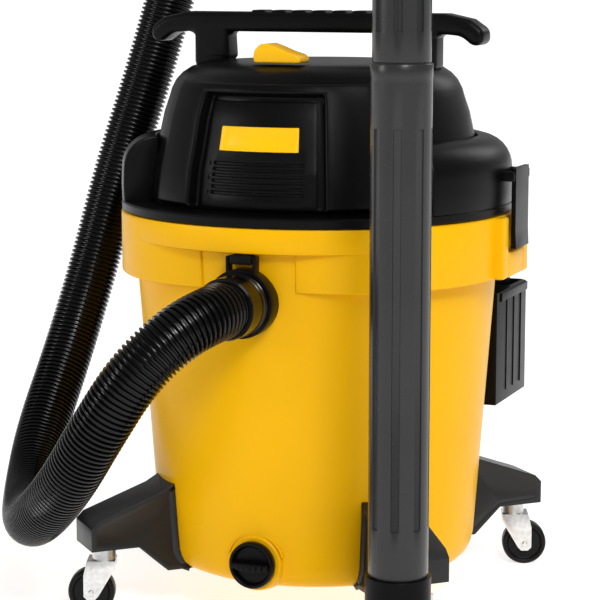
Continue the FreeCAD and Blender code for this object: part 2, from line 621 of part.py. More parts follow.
def make_motor():
    low = f"({FAN_TOP} + 0.5)"
    turned("motor", [
        ("bearing_radius", low), ("motor_radius", low), ("motor_radius", "motor_top"),
        ("bearing_radius", "motor_top"), ("bearing_radius", "motor_top - bearing_height - 1"),
        ("stator_bore", "motor_top - bearing_height - 1"), ("stator_bore", f"{low} + bearing_height + 1"),
        ("bearing_radius", f"{low} + bearing_height + 1"),
    ])
    turned("rotor_shaft", [
        ("0", f"{FAN_BASE} + 6"), ("shaft_radius", f"{FAN_BASE} + 6"),
        ("shaft_radius", f"{low} + bearing_height + 5"), ("rotor_radius", f"{low} + bearing_height + 5"),
        ("rotor_radius", "motor_top - bearing_height - 5"), ("shaft_radius", "motor_top - bearing_height - 5"),
        ("shaft_radius", "motor_top - 1"), ("0", "motor_top - 1"),
    ])
    bearings = []
    for word, level in (("low", f"{low} + 0.5"), ("high", "motor_top - bearing_height - 0.5")):
        bearings.append(turned("bearing_" + word, box_corners(
            ("shaft_radius + running_gap", level), ("bearing_radius", f"{level} + bearing_height"))))
    grouped("bearings", bearings)
    turned("fan_housing", [
        ("intake_radius", FAN_BASE), ("fan_radius", FAN_BASE), ("fan_radius", FAN_TOP),
        ("shaft_radius + 3", FAN_TOP), ("shaft_radius + 3", FAN_TOP + " - 2"),
        ("fan_radius - 2.5", FAN_TOP + " - 2"), ("fan_radius - 2.5", FAN_BASE + " + 2"),
        ("intake_radius", FAN_BASE + " + 2"),
    ])
    wheel = new_body("impeller")
    spin(wheel, "impeller_hub", [
        ("shaft_radius", f"{FAN_BASE} + 10"), ("12", f"{FAN_BASE} + 10"), ("14", f"{FAN_TOP} - 14"),
        ("impeller_radius", f"{FAN_TOP} - 10"), ("impeller_radius", f"{FAN_TOP} - 8"),
        ("shaft_radius", f"{FAN_TOP} - 8"),
    ])
    blade = raise_up(wheel, "impeller_blade", "XY_Plane",
                     [("11", "0"), ("30", "-8"), ("impeller_radius - 4", "-2"), ("impeller_radius - 4", "0"),
                      ("30", "-6"), ("11", "2")],
                     "fan_height - 24", lift=f"{FAN_BASE} + 14")
    ring = wheel.newObject("PartDesign::PolarPattern", "impeller_blades")
    ring.Originals = [blade]
    ring.Axis = (blade.Profile[0], ["N_Axis"])
    ring.Angle = 360
    ring.Occurrences = 9
    wheel.Tip = ring
    # Foam ring that quietens the exhaust, around the motor.
    turned("exhaust_foam", box_corners(("motor_radius + 8", FAN_TOP + " + 6"),
                                       ("motor_radius + 30", FAN_TOP + " + 60")))


def make_filter():
    top = f"({LID_BASE} - 0.1)"
    floor = f"({LID_BASE} - cage_drop)"
    body = new_body("filter_cage")
    spin(body, "cage_cup", [
        ("0", floor), ("cage_radius", floor), ("cage_radius", top), ("cage_radius - 3", top),
        ("cage_radius - 3", floor + " + 3"), ("0", floor + " + 3"),
    ])
    spin(body, "cage_stud", box_corners(("0", floor + " - 24"), ("6", floor + " + 1")))
    slot = raise_up(body, "cage_slot", "XZ_Plane",
                    box_corners(("-8", floor + " + 40"), ("8", top + " - 12")), "cage_radius + 20", cut=True)
    slot.Reversed = False
    ring = body.newObject("PartDesign::PolarPattern", "cage_slots")
    ring.Originals = [slot]
    ring.Axis = (origin_axis(body), [""])
    ring.Angle = 360
    ring.Occurrences = 8
    body.Tip = ring
    place(turned("float_ball", [
        ("0", "-float_radius"), ("float_radius * 0.5", "-float_radius * 0.866"),
        ("float_radius * 0.866", "-float_radius * 0.5"), ("float_radius", "0"),
        ("float_radius * 0.866", "float_radius * 0.5"), ("float_radius * 0.5", "float_radius * 0.866"),
        ("0", "float_radius"),
    ]), ("0", "0", floor + " + 3.3 + float_radius"))
    turned("filter", [
        ("8", floor + " - 5"), ("filter_radius", floor + " - 5"), ("filter_radius", top + " - 2"),
        ("cage_radius + 0.6", top + " - 2"), ("cage_radius + 0.6", floor + " - 0.5"), ("8", floor + " - 0.5"),
    ])
    turned("filter_nut", [
        ("6", floor + " - 20"), ("26", floor + " - 20"), ("30", floor + " - 12"), ("30", floor + " - 5.5"),
        ("6", floor + " - 5.5"),
    ])


def origin_axis(body):
    return next(item for item in body.Origin.OriginFeatures if item.Role == "Z_Axis")


def make_blower():
    start = "fan_radius + 44"
    place(turned("blower_port", [
        ("blower_bore", start), ("blower_bore + 2.5", start), ("blower_bore + 2.5", "rim_radius + 2"),
        ("blower_bore + 6", "rim_radius + 2"), ("blower_bore + 6", "rim_radius + 6"),
        ("blower_bore + 2.5", "rim_radius + 6"), ("blower_bore + 2.5", "blower_reach"),
        ("blower_bore", "blower_reach"),
    ]), ("0", "0", "blower_level"), *BACKWARD)
    place(turned("cord_gland", [
        ("4", "0"), ("9", "0"), ("9", "5"), ("7", "8"), ("5.5", "24"), ("4", "24"),
    ]), ("-gland_side", "sqrt(rim_radius * rim_radius - gland_side * gland_side) - 2", "shoulder_top - 46"),
          *BACKWARD)


# ---------------------------------------------------------------- casters
def make_caster(name, corner, heading):
    """Fork, axle and wheel at one corner, with the wheel trailing towards a heading."""
    turn = Rotation(Vector(0, 0, 1), corner)
    stem = turn.multVec(Vector(value("stem_radius"), 0, 0))
    across, back = turn.multVec(Vector(1, 0, 0))[:2]
    where = (f"{across} * stem_radius", f"{back} * stem_radius", "0")
    axle_level = "(wheel_radius - floor_gap)"
    crown = "(wheel_radius * 2 - floor_gap + 8)"
    fork = new_body("caster_fork_" + name)
    half = "fork_gap / 2"
    raise_up(fork, f"fork_crown_{name}", "XY_Plane",
             box_corners(("-13", f"-({half} + fork_sheet)"), ("caster_trail + 4", f"{half} + fork_sheet")),
             "fork_sheet", lift=crown)
    for side, word in ((1, "back"), (-1, "front")):
        cheek = raise_up(fork, f"fork_cheek_{word}_{name}", "XZ_Plane", [
            ("-13", crown + " + fork_sheet"), ("-13", crown + " - 6"),
            ("caster_trail - 8", axle_level + " - 4"),
            ("caster_trail - 4", axle_level + " - 8"), ("caster_trail + 4", axle_level + " - 8"),
            ("caster_trail + 8", axle_level + " - 4"), ("caster_trail + 8", crown + " - 14"),
            ("caster_trail + 4", crown + " + fork_sheet"),
        ], "fork_sheet", lift=f"{half}" if side > 0 else f"-({half} + fork_sheet)")
        cheek.Reversed = False
    spin(fork, f"fork_race_{name}", [
        ("0", crown + " + fork_sheet - 0.5"), ("13", crown + " + fork_sheet - 0.5"),
        ("13", "foot_end_base - 4"),
        ("9", "foot_end_base - 0.5"), ("stem_pin", "foot_end_base - 0.5"), ("stem_pin", "foot_end_base + 15"),
        ("0", "foot_end_base + 15"),
    ])
    bore = round_feature(fork, f"fork_bore_{name}", "XZ_Plane", ("caster_trail", axle_level), "axle_radius",
                         "4 * fork_gap", cut=True)
    bore.SideType = "Symmetric"
    place(fork, where, angle=heading)
    along = Rotation(Vector(0, 0, 1), heading)
    pivot = stem + along.multVec(Vector(value("caster_trail"), 0, value(axle_level)))
    axle = cylinder("caster_axle_" + name, "axle_radius", "fork_gap + 2 * fork_sheet + 4", ("0", "0", "0"))
    axle.Label = "caster_axle_" + name
    lying = along.multiply(Rotation(Vector(1, 0, 0), 90))
    half_axle = value("fork_gap + 2 * fork_sheet + 4") / 2
    axle.Placement = Placement(pivot + along.multVec(Vector(0, half_axle, 0)), lying)
    wheel = turned("caster_wheel_" + name, [
        ("axle_radius + running_gap", "-wheel_width / 2 - 1"), ("8", "-wheel_width / 2 - 1"),
        ("9", "-wheel_width / 2 + 3"), ("wheel_radius - 7", "-wheel_width / 2 + 3"),
        ("wheel_radius - 5", "-wheel_width / 2"), ("wheel_radius - 2", "-wheel_width / 2"),
        ("wheel_radius", "-wheel_width / 2 + 3"), ("wheel_radius", "wheel_width / 2 - 3"),
        ("wheel_radius - 2", "wheel_width / 2"), ("wheel_radius - 5", "wheel_width / 2"),
        ("wheel_radius - 7", "wheel_width / 2 - 3"), ("9", "wheel_width / 2 - 3"),
        ("8", "wheel_width / 2 + 1"), ("axle_radius + running_gap", "wheel_width / 2 + 1"),
    ])
    wheel.Placement = Placement(pivot, lying)
    print("caster", name, "stem", [round(x, 3) for x in stem], "axle", [round(x, 3) for x in pivot])


# ---------------------------------------------------------------- hose and wand
def make_hose():
    """The free hose: straight runs with tangent arcs, from the inlet's cuff round to the wand's cuff."""
    start = value("hose_start")
    level = value("inlet_level")
    route = [
        (0, -start, level), (-2, -start - 35, level), (-25, -318, 303), (-62, -345, 262), (-100, -350, 203),
        (-148, -328, 138), (-208, -280, 84), (-262, -208, 58), (-305, -125, 70), (-328, -55, 122),
        (-328, 16, 205), (-315, 62, 305), (-298, 98, 420), (-270, 132, 540), (-242, 158, 665),
        (-212, 166, 800), (-172, 144, 930), (-118, 92, 1045), (-46, 16, 1130), (38, -76, 1186),
        (112, -166, 1200), (168, -240, 1180), (196, -280, 1140),
        (value("wand_side"), -value("wand_front"), value("hose_end")),
    ]
    points = [Vector(*spot) for spot in route]
    edges = []
    radii = []
    here = points[0]
    for before, corner, after in zip(points, points[1:], points[2:]):
        inward = (corner - before).normalize()
        outward = (after - corner).normalize()
        turn = inward.getAngle(outward)
        reach = 0.45 * min((corner - before).Length, (after - corner).Length)
        radius = reach / math.tan(turn / 2)
        radii.append(round(radius))
        start = corner - inward * reach
        end = corner + outward * reach
        bisector = (outward - inward).normalize()
        middle = corner + bisector * (radius / math.cos(turn / 2) - radius)
        edges.append(Part.LineSegment(here, start).toShape())
        edges.append(Part.Arc(start, middle, end).toShape())
        here = end
    edges.append(Part.LineSegment(here, points[-1]).toShape())
    path = Part.Wire(edges)
    radius = value("hose_radius")
    section = Part.Wire(Part.Circle(points[0], points[1] - points[0], radius).toShape())
    shape = path.makePipeShell([section], True, True)
    item = doc.addObject("Part::Feature", "hose")
    item.Label = "hose"
    item.Shape = shape
    item.Placement = Placement()
    ideal = math.pi * radius ** 2 * path.Length
    print("hose radii", radii)
    print("hose length", round(path.Length), "volume ratio", round(shape.Volume / ideal, 4))


def make_cuffs():
    place(turned("hose_cuff_tank", [
        ("27", "inlet_reach - 26"), ("inlet_bore - 0.1", "inlet_reach - 26"),
        ("inlet_bore - 0.1", "inlet_reach + 0.2"), ("hose_radius + 3", "inlet_reach + 0.2"),
        ("hose_radius + 1.5", "hose_start"), ("27", "hose_start"),
    ]), ("0", "0", "inlet_level"), *FORWARD)
    place(turned("hose_cuff_wand", [
        ("22", "wand_top - 44"), ("wand_radius - wand_wall - 0.1", "wand_top - 44"),
        ("wand_radius - wand_wall - 0.1", "wand_top + 0.2"), ("hose_radius + 3", "wand_top + 0.2"),
        ("hose_radius + 1.5", "hose_end"), ("22", "hose_end"),
    ]), ("wand_side", "-wand_front", "0"))


def make_wand():
    spot = ("wand_side", "-wand_front", "0")
    sleeve = "wand_lower_radius - wand_wall - 0.1"
    place(turned("wand_upper", [
        ("wand_radius - wand_wall - 2", "wand_joint - 50"), (sleeve, "wand_joint - 50"),
        (sleeve, "wand_joint + 0.2"), ("wand_radius", "wand_joint + 0.2"),
        ("wand_radius", "wand_top"), ("wand_radius - wand_wall", "wand_top"),
        ("wand_radius - wand_wall", "wand_joint"), ("wand_radius - wand_wall - 2", "wand_joint - 2"),
    ]), spot)
    place(turned("wand_lower", [
        ("wand_lower_radius - wand_wall", "neck_top"), ("wand_lower_radius", "neck_top"),
        ("wand_lower_radius", "wand_joint"), ("wand_lower_radius - wand_wall", "wand_joint"),
    ]), spot)
    # Floor nozzle: a wide shallow hood with a round neck that the lower tube pushes on to.
    neck = turned("nozzle_neck", [
        ("22", "-floor_gap + 30"), ("wand_lower_radius + 3", "-floor_gap + 30"),
        ("wand_lower_radius + 3", "neck_top - 0.2"), (sleeve, "neck_top - 0.2"),
        (sleeve, "neck_top + 36"), ("22", "neck_top + 36"),
    ])
    place(neck, spot)
    hood = new_body("nozzle_hood")
    half = "nozzle_width / 2"
    deep = "nozzle_depth / 2"
    raise_up(hood, "hood_pad", "XZ_Plane", [
        (f"-({half})", "-floor_gap"), (half, "-floor_gap"), (half, "-floor_gap + 16"),
        ("44", "-floor_gap + 36"),
        ("-44", "-floor_gap + 36"), (f"-({half})", "-floor_gap + 16"),
    ], "nozzle_depth", middle=True)
    mouth = raise_up(hood, "hood_mouth", "XY_Plane",
                     box_corners((f"-({half} - 14)", f"-({deep} - 18)"), (f"{half} - 14", f"{deep} - 18")),
                     "12", lift="-floor_gap", cut=True)
    mouth.Reversed = True
    passage = round_feature(hood, "hood_passage", "XY_Plane", ("0", "0"), "22", "60", lift="-floor_gap", cut=True)
    passage.Reversed = True
    place(hood, spot)
    joined("floor_nozzle", [hood, neck])
    strips = []
    for end, word in ((-1, "front"), (1, "back")):
        row = f"-wand_front + {end} * (nozzle_depth / 2 - 20.8)"
        strips.append(block("nozzle_strip_" + word, ("nozzle_width - 34", "5", "11.6"),
                            ("wand_side", row, "-floor_gap + 0.2")))
    grouped("nozzle_brush", strips)


make_tank()
make_feet()
make_foot_screws()
make_inlet()
make_drain()
make_caddy()
make_lid()
make_cover()
make_front()
make_handle()
make_cover_screws()
make_switch()
grouped("latch_pins", [make_latch("right", 1), make_latch("left", -1)])
make_motor()
make_filter()
make_blower()
for caster, corner_angle, wheel_heading in (("front_left", 225, 201), ("front_right", -45, 250),
                                            ("rear_right", 45, 21), ("rear_left", 135, 110)):
    make_caster(caster, corner_angle, wheel_heading)
make_hose()
make_cuffs()
make_wand()
doc.recompute()

nodes = [
    "tank", "foot_screws", "inlet_port", "inlet_lock", "inlet_deflector", "drain_cap", "drain_seal", "caddy",
    "caddy_screws", "crevice_tool", "lid", "lid_seal", "motor_cover", "front_panel", "badge", "handle",
    "cover_screws", "switch_box", "switch_paddle", "latch_left", "latch_right", "latch_pins", "motor",
    "rotor_shaft", "bearings", "fan_housing", "impeller", "exhaust_foam", "filter_cage", "float_ball", "filter",
    "filter_nut", "blower_port", "cord_gland", "hose", "hose_cuff_tank", "hose_cuff_wand",
    "wand_upper", "wand_lower", "floor_nozzle", "nozzle_brush",
]
for corner_name in ("front_left", "front_right", "rear_right", "rear_left"):
    nodes += [f"{piece}_{corner_name}" for piece in ("caster_foot", "caster_fork", "caster_axle", "caster_wheel")]

for item in doc.Objects:
    if "Invalid" in item.State or "Error" in item.State:
        raise SystemExit(f"{item.Label} did not rebuild: {item.State}")
parts = {item.Label: item for item in doc.Objects}
for node in nodes:
    shape = parts[node].Shape
    if shape.isNull() or not shape.isValid() or not shape.Solids:
        raise SystemExit(f"{node} is not a valid solid")

os.makedirs("parts", exist_ok=True)
for node in nodes:
    parts[node].Shape.exportStep(f"parts/{node}.step")
print(len(nodes), "nodes written")
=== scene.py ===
import json
import math

import bpy
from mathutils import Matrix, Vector


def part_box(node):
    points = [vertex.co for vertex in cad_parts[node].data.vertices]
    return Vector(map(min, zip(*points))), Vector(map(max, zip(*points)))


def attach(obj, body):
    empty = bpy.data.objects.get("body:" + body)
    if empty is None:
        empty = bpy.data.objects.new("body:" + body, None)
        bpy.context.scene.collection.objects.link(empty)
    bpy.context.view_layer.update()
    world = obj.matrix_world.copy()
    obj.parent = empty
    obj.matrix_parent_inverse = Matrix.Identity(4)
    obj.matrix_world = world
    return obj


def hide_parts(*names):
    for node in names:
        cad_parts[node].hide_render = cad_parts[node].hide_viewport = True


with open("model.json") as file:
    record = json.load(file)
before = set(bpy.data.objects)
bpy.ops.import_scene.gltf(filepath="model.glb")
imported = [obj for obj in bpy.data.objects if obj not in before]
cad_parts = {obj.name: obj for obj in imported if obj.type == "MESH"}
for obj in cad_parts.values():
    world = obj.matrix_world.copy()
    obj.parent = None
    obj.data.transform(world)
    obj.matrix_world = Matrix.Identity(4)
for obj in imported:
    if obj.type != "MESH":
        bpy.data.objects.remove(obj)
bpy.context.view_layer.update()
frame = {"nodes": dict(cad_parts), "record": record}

# Shop vacuum on casters. Metres, +Z up, front towards -Y.
nodes = frame["nodes"]
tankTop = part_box("tank")[1].z
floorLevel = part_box("caster_wheel_front_left")[0].z
corners = ("front_left", "front_right", "rear_right", "rear_left")
print("frame loaded", len(nodes), "nodes")

cameraSetup = {"turn": 21.79, "tilt": 80.98, "spot": (0.8709, -2.2302, 0.670), "lens": 128.09}
bpy.ops.object.camera_add(location=cameraSetup["spot"])
camera = bpy.context.object
camera.rotation_euler = (math.radians(cameraSetup["tilt"]), 0, math.radians(cameraSetup["turn"]))
camera.data.lens = cameraSetup["lens"]
camera.data.sensor_width = 36
camera.data.clip_end = 50
bpy.context.scene.camera = camera


# materials
def blankMaterial(name):
    material = bpy.data.materials.new(name)
    material.use_nodes = True
    tree = material.node_tree
    shader = tree.nodes["Principled BSDF"]
    place = tree.nodes.new("ShaderNodeTexCoord")
    return material, tree, shader, place


def noiseOn(tree, place, scale, detail=3.0, stretch=None):
    noise = tree.nodes.new("ShaderNodeTexNoise")
    noise.inputs["Scale"].default_value = scale
    noise.inputs["Detail"].default_value = detail
    if stretch:
        mapping = tree.nodes.new("ShaderNodeMapping")
        mapping.inputs["Scale"].default_value = stretch
        tree.links.new(place.outputs["Object"], mapping.inputs["Vector"])
        tree.links.new(mapping.outputs["Vector"], noise.inputs["Vector"])
    else:
        tree.links.new(place.outputs["Object"], noise.inputs["Vector"])
    return noise


def rampOf(tree, source, low, high):
    ramp = tree.nodes.new("ShaderNodeValToRGB")
    ramp.color_ramp.elements[0].position = 0.35
    ramp.color_ramp.elements[1].position = 0.65
    ramp.color_ramp.elements[0].color = (*low, 1)
    ramp.color_ramp.elements[1].color = (*high, 1)
    tree.links.new(source, ramp.inputs["Fac"])
    return ramp.outputs["Color"]


def moulded(name, colour, rough, grain, grainScale, drift, specular=0.5):
    # moulded plastic: slow drift in shade, uneven gloss, fine cast texture
    material, tree, shader, place = blankMaterial(name)
    slow = noiseOn(tree, place, 9, 4)
    low = tuple(c * (1 - drift) for c in colour)
    high = tuple(min(1, c * (1 + drift)) for c in colour)
    tree.links.new(rampOf(tree, slow.outputs["Fac"], low, high), shader.inputs["Base Color"])
    patch = noiseOn(tree, place, 60, 5)
    gloss = tree.nodes.new("ShaderNodeMapRange")
    gloss.inputs["To Min"].default_value = rough * 0.88
    gloss.inputs["To Max"].default_value = rough * 1.16
    tree.links.new(patch.outputs["Fac"], gloss.inputs["Value"])
    tree.links.new(gloss.outputs["Result"], shader.inputs["Roughness"])
    cast = noiseOn(tree, place, grainScale, 2)
    bump = tree.nodes.new("ShaderNodeBump")
    bump.inputs["Strength"].default_value = grain
    bump.inputs["Distance"].default_value = 0.0004
    tree.links.new(cast.outputs["Fac"], bump.inputs["Height"])
    tree.links.new(bump.outputs["Normal"], shader.inputs["Normal"])
    shader.inputs["Specular IOR Level"].default_value = specular
    return material


def plated(name, colour, rough, streaks):
    # zinc plate: brushed streaks and cloudy spangle
    material, tree, shader, place = blankMaterial(name)
    shader.inputs["Metallic"].default_value = 1.0
    cloud = noiseOn(tree, place, 220, 5)
    low = tuple(c * 0.82 for c in colour)
    tree.links.new(rampOf(tree, cloud.outputs["Fac"], low, colour), shader.inputs["Base Color"])
    streak = noiseOn(tree, place, 4, 3, streaks)
    gloss = tree.nodes.new("ShaderNodeMapRange")
    gloss.inputs["To Min"].default_value = rough * 0.7
    gloss.inputs["To Max"].default_value = rough * 1.5
    tree.links.new(streak.outputs["Fac"], gloss.inputs["Value"])
    tree.links.new(gloss.outputs["Result"], shader.inputs["Roughness"])
    bump = tree.nodes.new("ShaderNodeBump")
    bump.inputs["Strength"].default_value = 0.08
    bump.inputs["Distance"].default_value = 0.0002
    tree.links.new(streak.outputs["Fac"], bump.inputs["Height"])
    tree.links.new(bump.outputs["Normal"], shader.inputs["Normal"])
    return material


def fibrous(name, colour, wave):
    # pleats, foam or bristle: fine ridges with shade in between
    material, tree, shader, place = blankMaterial(name)
    ridge = noiseOn(tree, place, 6, 2, wave)
    low = tuple(c * 0.6 for c in colour)
    tree.links.new(rampOf(tree, ridge.outputs["Fac"], low, colour), shader.inputs["Base Color"])
    bump = tree.nodes.new("ShaderNodeBump")
    bump.inputs["Strength"].default_value = 0.6
    bump.inputs["Distance"].default_value = 0.001
    tree.links.new(ridge.outputs["Fac"], bump.inputs["Height"])
    tree.links.new(bump.outputs["Normal"], shader.inputs["Normal"])
    shader.inputs["Roughness"].default_value = 0.9
    return material


finishes = {
    "yellow_shell": moulded("drumYellow", (0.82, 0.425, 0.0015), rough=0.33, grain=0.10, grainScale=900,
                            drift=0.02, specular=0.09),
    "badge_yellow": moulded("signalYellow", (0.93, 0.49, 0.002), rough=0.32, grain=0.06, grainScale=1200,
                            drift=0.02, specular=0.2),
    "black_moulding": moulded("blackMoulding", (0.0024, 0.0024, 0.0026), rough=0.30, grain=0.28,
                              grainScale=1500, drift=0.15, specular=0.10),
    "black_trim": moulded("blackTrim", (0.0035, 0.0035, 0.0035), rough=0.45, grain=0.35, grainScale=1800,
                          drift=0.15, specular=0.10),
    # a lighter copy of the black moulding for the feet: painted light, so their sides look lit
    "lit_foot_black": moulded("litFootBlack", (0.0130, 0.0130, 0.0134), rough=0.34, grain=0.22, grainScale=1500,
                          drift=0.15, specular=0.30),
    "wheel_black": moulded("wheelBlack", (0.0045, 0.0045, 0.0048), rough=0.36, grain=0.25, grainScale=1200,
                           drift=0.2, specular=0.16),
    "hose_black": moulded("hoseBlack", (0.0016, 0.0016, 0.0018), rough=0.19, grain=0.04, grainScale=700,
                          drift=0.2, specular=0.22),
    "wand_black": moulded("wandBlack", (0.0165, 0.0165, 0.0172), rough=0.26, grain=0.10, grainScale=1600,
                          drift=0.12, specular=0.36),
    "rubber": moulded("softRubber", (0.016, 0.016, 0.016), rough=0.75, grain=0.4, grainScale=2200, drift=0.2),
    "float_white": moulded("floatWhite", (0.82, 0.82, 0.80), rough=0.45, grain=0.15, grainScale=900,
                           drift=0.03),
    "zinc": plated("zincPlate", (0.80, 0.80, 0.79), rough=0.3, streaks=(30, 30, 600)),
    "steel": plated("turnedSteel", (0.62, 0.62, 0.63), rough=0.35, streaks=(600, 600, 20)),
    "filter_paper": fibrous("pleatedPaper", (0.86, 0.82, 0.72), (40, 40, 2)),
    "foam": fibrous("openFoam", (0.10, 0.10, 0.10), (260, 260, 260)),
    "bristle": fibrous("bristles", (0.04, 0.04, 0.04), (900, 900, 20)),
}
slotOf = {entry["node"]: entry["material_slot"] for entry in frame["record"]["subparts"]}
bodyOf = {node: body for body, names in frame["record"]["behaviour"]["bodies"].items() for node in names}
for node, item in nodes.items():
    item.data.materials.clear()
    item.data.materials.append(finishes[slotOf[node]])
print("materials made")


# modelling helpers
def middleOf(node):
    low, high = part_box(node)
    return [(a + b) / 2 for a, b in zip(low, high)]


def clearSelection():
    if bpy.context.object and bpy.context.object.mode != "OBJECT":
        bpy.ops.object.mode_set(mode="OBJECT")
    bpy.ops.object.select_all(action="DESELECT")


def only(piece):
    clearSelection()
    piece.select_set(True)
    bpy.context.view_layer.objects.active = piece


def editing(piece, kind="VERT"):
    only(piece)
    bpy.ops.object.mode_set(mode="EDIT")
    bpy.ops.mesh.select_mode(type=kind)
    bpy.ops.mesh.select_all(action="DESELECT")


def pickFaces(piece, wanted):
    # selects the faces whose centre and normal pass the test, and stays in edit mode
    editing(piece, "FACE")
    bpy.ops.object.mode_set(mode="OBJECT")
    for face in piece.data.polygons:
        face.select = wanted(face.center, face.normal)
    bpy.ops.object.mode_set(mode="EDIT")


def pushed(piece, wanted, depth):
    # the picked faces go out along their normals, or in where the depth is negative
    pickFaces(piece, wanted)
    bpy.ops.mesh.extrude_region_shrink_fatten(TRANSFORM_OT_shrink_fatten={"value": depth})
    bpy.ops.object.mode_set(mode="OBJECT")


def insetInto(piece, wanted, steps):
    # the picked faces inset by one thickness and depth after another
    pickFaces(piece, wanted)
    for thickness, depth in steps:
        bpy.ops.mesh.inset(thickness=thickness, depth=depth)
    bpy.ops.object.mode_set(mode="OBJECT")


def applied(piece, kind, **settings):
    only(piece)
    modifier = piece.modifiers.new(kind.title(), kind)
    for key, setting in settings.items():
        setattr(modifier, key, setting)
    bpy.ops.object.modifier_apply(modifier=modifier.name)


def bevelled(piece, width, segments=3, angle=30):
    applied(piece, "BEVEL", width=width, segments=segments, limit_method="ANGLE",
            angle_limit=math.radians(angle), use_clamp_overlap=True, harden_normals=False)


def tidied(piece):
    # doubles merged, then faces turned outwards
    editing(piece)
    bpy.ops.mesh.select_all(action="SELECT")
    bpy.ops.mesh.remove_doubles(threshold=0.00001)
    bpy.ops.mesh.normals_make_consistent(inside=False)
    bpy.ops.object.mode_set(mode="OBJECT")


def settled(piece):
    only(piece)
    bpy.ops.object.transform_apply(location=True, rotation=True, scale=True)


def ringLoft(name, rings, segments=96, closed=False):
    # a circle extruded from ring to ring, each ring a radius and a height
    clearSelection()
    bpy.ops.mesh.primitive_circle_add(vertices=segments, radius=rings[0][0], location=(0, 0, 0))
    piece = bpy.context.object
    piece.name = name
    bpy.ops.object.mode_set(mode="EDIT")
    bpy.ops.mesh.select_mode(type="EDGE")
    bpy.ops.mesh.select_all(action="SELECT")
    bpy.ops.transform.translate(value=(0, 0, rings[0][1]))
    for (oldRadius, oldHeight), (radius, height) in zip(rings, rings[1:]):
        bpy.ops.mesh.extrude_edges_move(TRANSFORM_OT_translate={"value": (0, 0, height - oldHeight)})
        grow = radius / oldRadius
        bpy.ops.transform.resize(value=(grow, grow, 1), center_override=(0, 0, height))
    if not closed:
        bpy.ops.mesh.select_all(action="SELECT")
        bpy.ops.mesh.fill_holes(sides=0)
    bpy.ops.object.mode_set(mode="OBJECT")
    tidied(piece)
    return piece


def sweptOutline(name, outline, sweep, steps, middle=90):
    # an outline of radius and height turned part of the way about Z, its middle towards an angle
    clearSelection()
    start = math.radians(middle + sweep / 2)  # spin runs clockwise seen from above
    bpy.ops.mesh.primitive_circle_add(vertices=len(outline), radius=0.01, location=(0, 0, 0),
                                      fill_type="NGON")
    piece = bpy.context.object
    piece.name = name
    for vertex, (radius, height) in zip(piece.data.vertices, outline):
        vertex.co = (radius * math.cos(start), radius * math.sin(start), height)
    bpy.ops.object.mode_set(mode="EDIT")
    bpy.ops.mesh.select_mode(type="FACE")
    bpy.ops.mesh.select_all(action="SELECT")
    bpy.ops.mesh.spin(steps=steps, angle=math.radians(sweep), center=(0, 0, 0), axis=(0, 0, 1), dupli=False)
    bpy.ops.object.mode_set(mode="OBJECT")
    tidied(piece)
    return piece


def bentBlock(name, radii, heights, sweep, steps, middle):
    low, high = heights
    inner, outer = radii
    section = [(inner, low), (outer, low), (outer, high), (inner, high)]
    return sweptOutline(name, section, sweep, steps, middle)


def softBlock(name, low, high, width, segments=3):
    # a bevelled block between two corners
    clearSelection()
    centre = [(a + b) / 2 for a, b in zip(low, high)]
    bpy.ops.mesh.primitive_cube_add(size=1, location=centre)
    piece = bpy.context.object
    piece.name = name
    piece.scale = [abs(b - a) for a, b in zip(low, high)]
    settled(piece)
    bevelled(piece, width, segments)
    return piece


def joinedTo(base, others):
    clearSelection()
    for item in others:
        item.select_set(True)
    base.select_set(True)
    bpy.context.view_layer.objects.active = base
    bpy.ops.object.join()
    return base


def placed(piece, spot, turn=0):
    # a piece built about Z goes to its place, and a quarter turn lays it along Y
    piece.rotation_euler = (math.radians(turn), 0, 0)
    piece.location = spot
    settled(piece)
    return piece


def softCopy(node, width, segments=2, angle=30, name=None):
    # a merged copy of a CAD node with its edges eased
    piece = bpy.data.objects.new(name or node + "_moulded", nodes[node].data.copy())
    bpy.context.scene.collection.objects.link(piece)
    piece.data.materials.clear()
    editing(piece)
    bpy.ops.mesh.select_all(action="SELECT")
    bpy.ops.mesh.remove_doubles(threshold=0.00001)
    bpy.ops.mesh.dissolve_limited(angle_limit=math.radians(1.0))
    bpy.ops.object.mode_set(mode="OBJECT")
    bevelled(piece, width, segments, angle)
    return piece


def handedOver(piece, node, smooth=35, material=None):
    # smooth shading, finish, body and the CAD node that the piece stands for
    only(piece)
    bpy.ops.object.shade_smooth_by_angle(angle=math.radians(smooth))
    piece.data.materials.clear()
    piece.data.materials.append(material or finishes[slotOf[node]])
    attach(piece, bodyOf[node])
    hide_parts(node)
    return piece


# hose
hoseSetup = {
    "route": [
        (0, -0.240, 0.318), (-0.002, -0.275, 0.318), (-0.025, -0.318, 0.303), (-0.062, -0.345, 0.262),
        (-0.100, -0.350, 0.203), (-0.148, -0.328, 0.138), (-0.208, -0.280, 0.084), (-0.262, -0.208, 0.058),
        (-0.305, -0.125, 0.070), (-0.328, -0.055, 0.122), (-0.328, 0.016, 0.205), (-0.315, 0.062, 0.305),
        (-0.298, 0.098, 0.420), (-0.270, 0.132, 0.540), (-0.242, 0.158, 0.665), (-0.212, 0.166, 0.800),
        (-0.172, 0.144, 0.930), (-0.118, 0.092, 1.045), (-0.046, 0.016, 1.130), (0.038, -0.076, 1.186),
        (0.112, -0.166, 1.200), (0.168, -0.240, 1.180), (0.196, -0.280, 1.140), (0.200, -0.290, 1.100),
    ],
    "crest": 0.030, "valley": 0.0266, "round": 0.00035, "pitch": 0.0054, "rings": 5, "sides": 30,
    "length": 2.2,
}


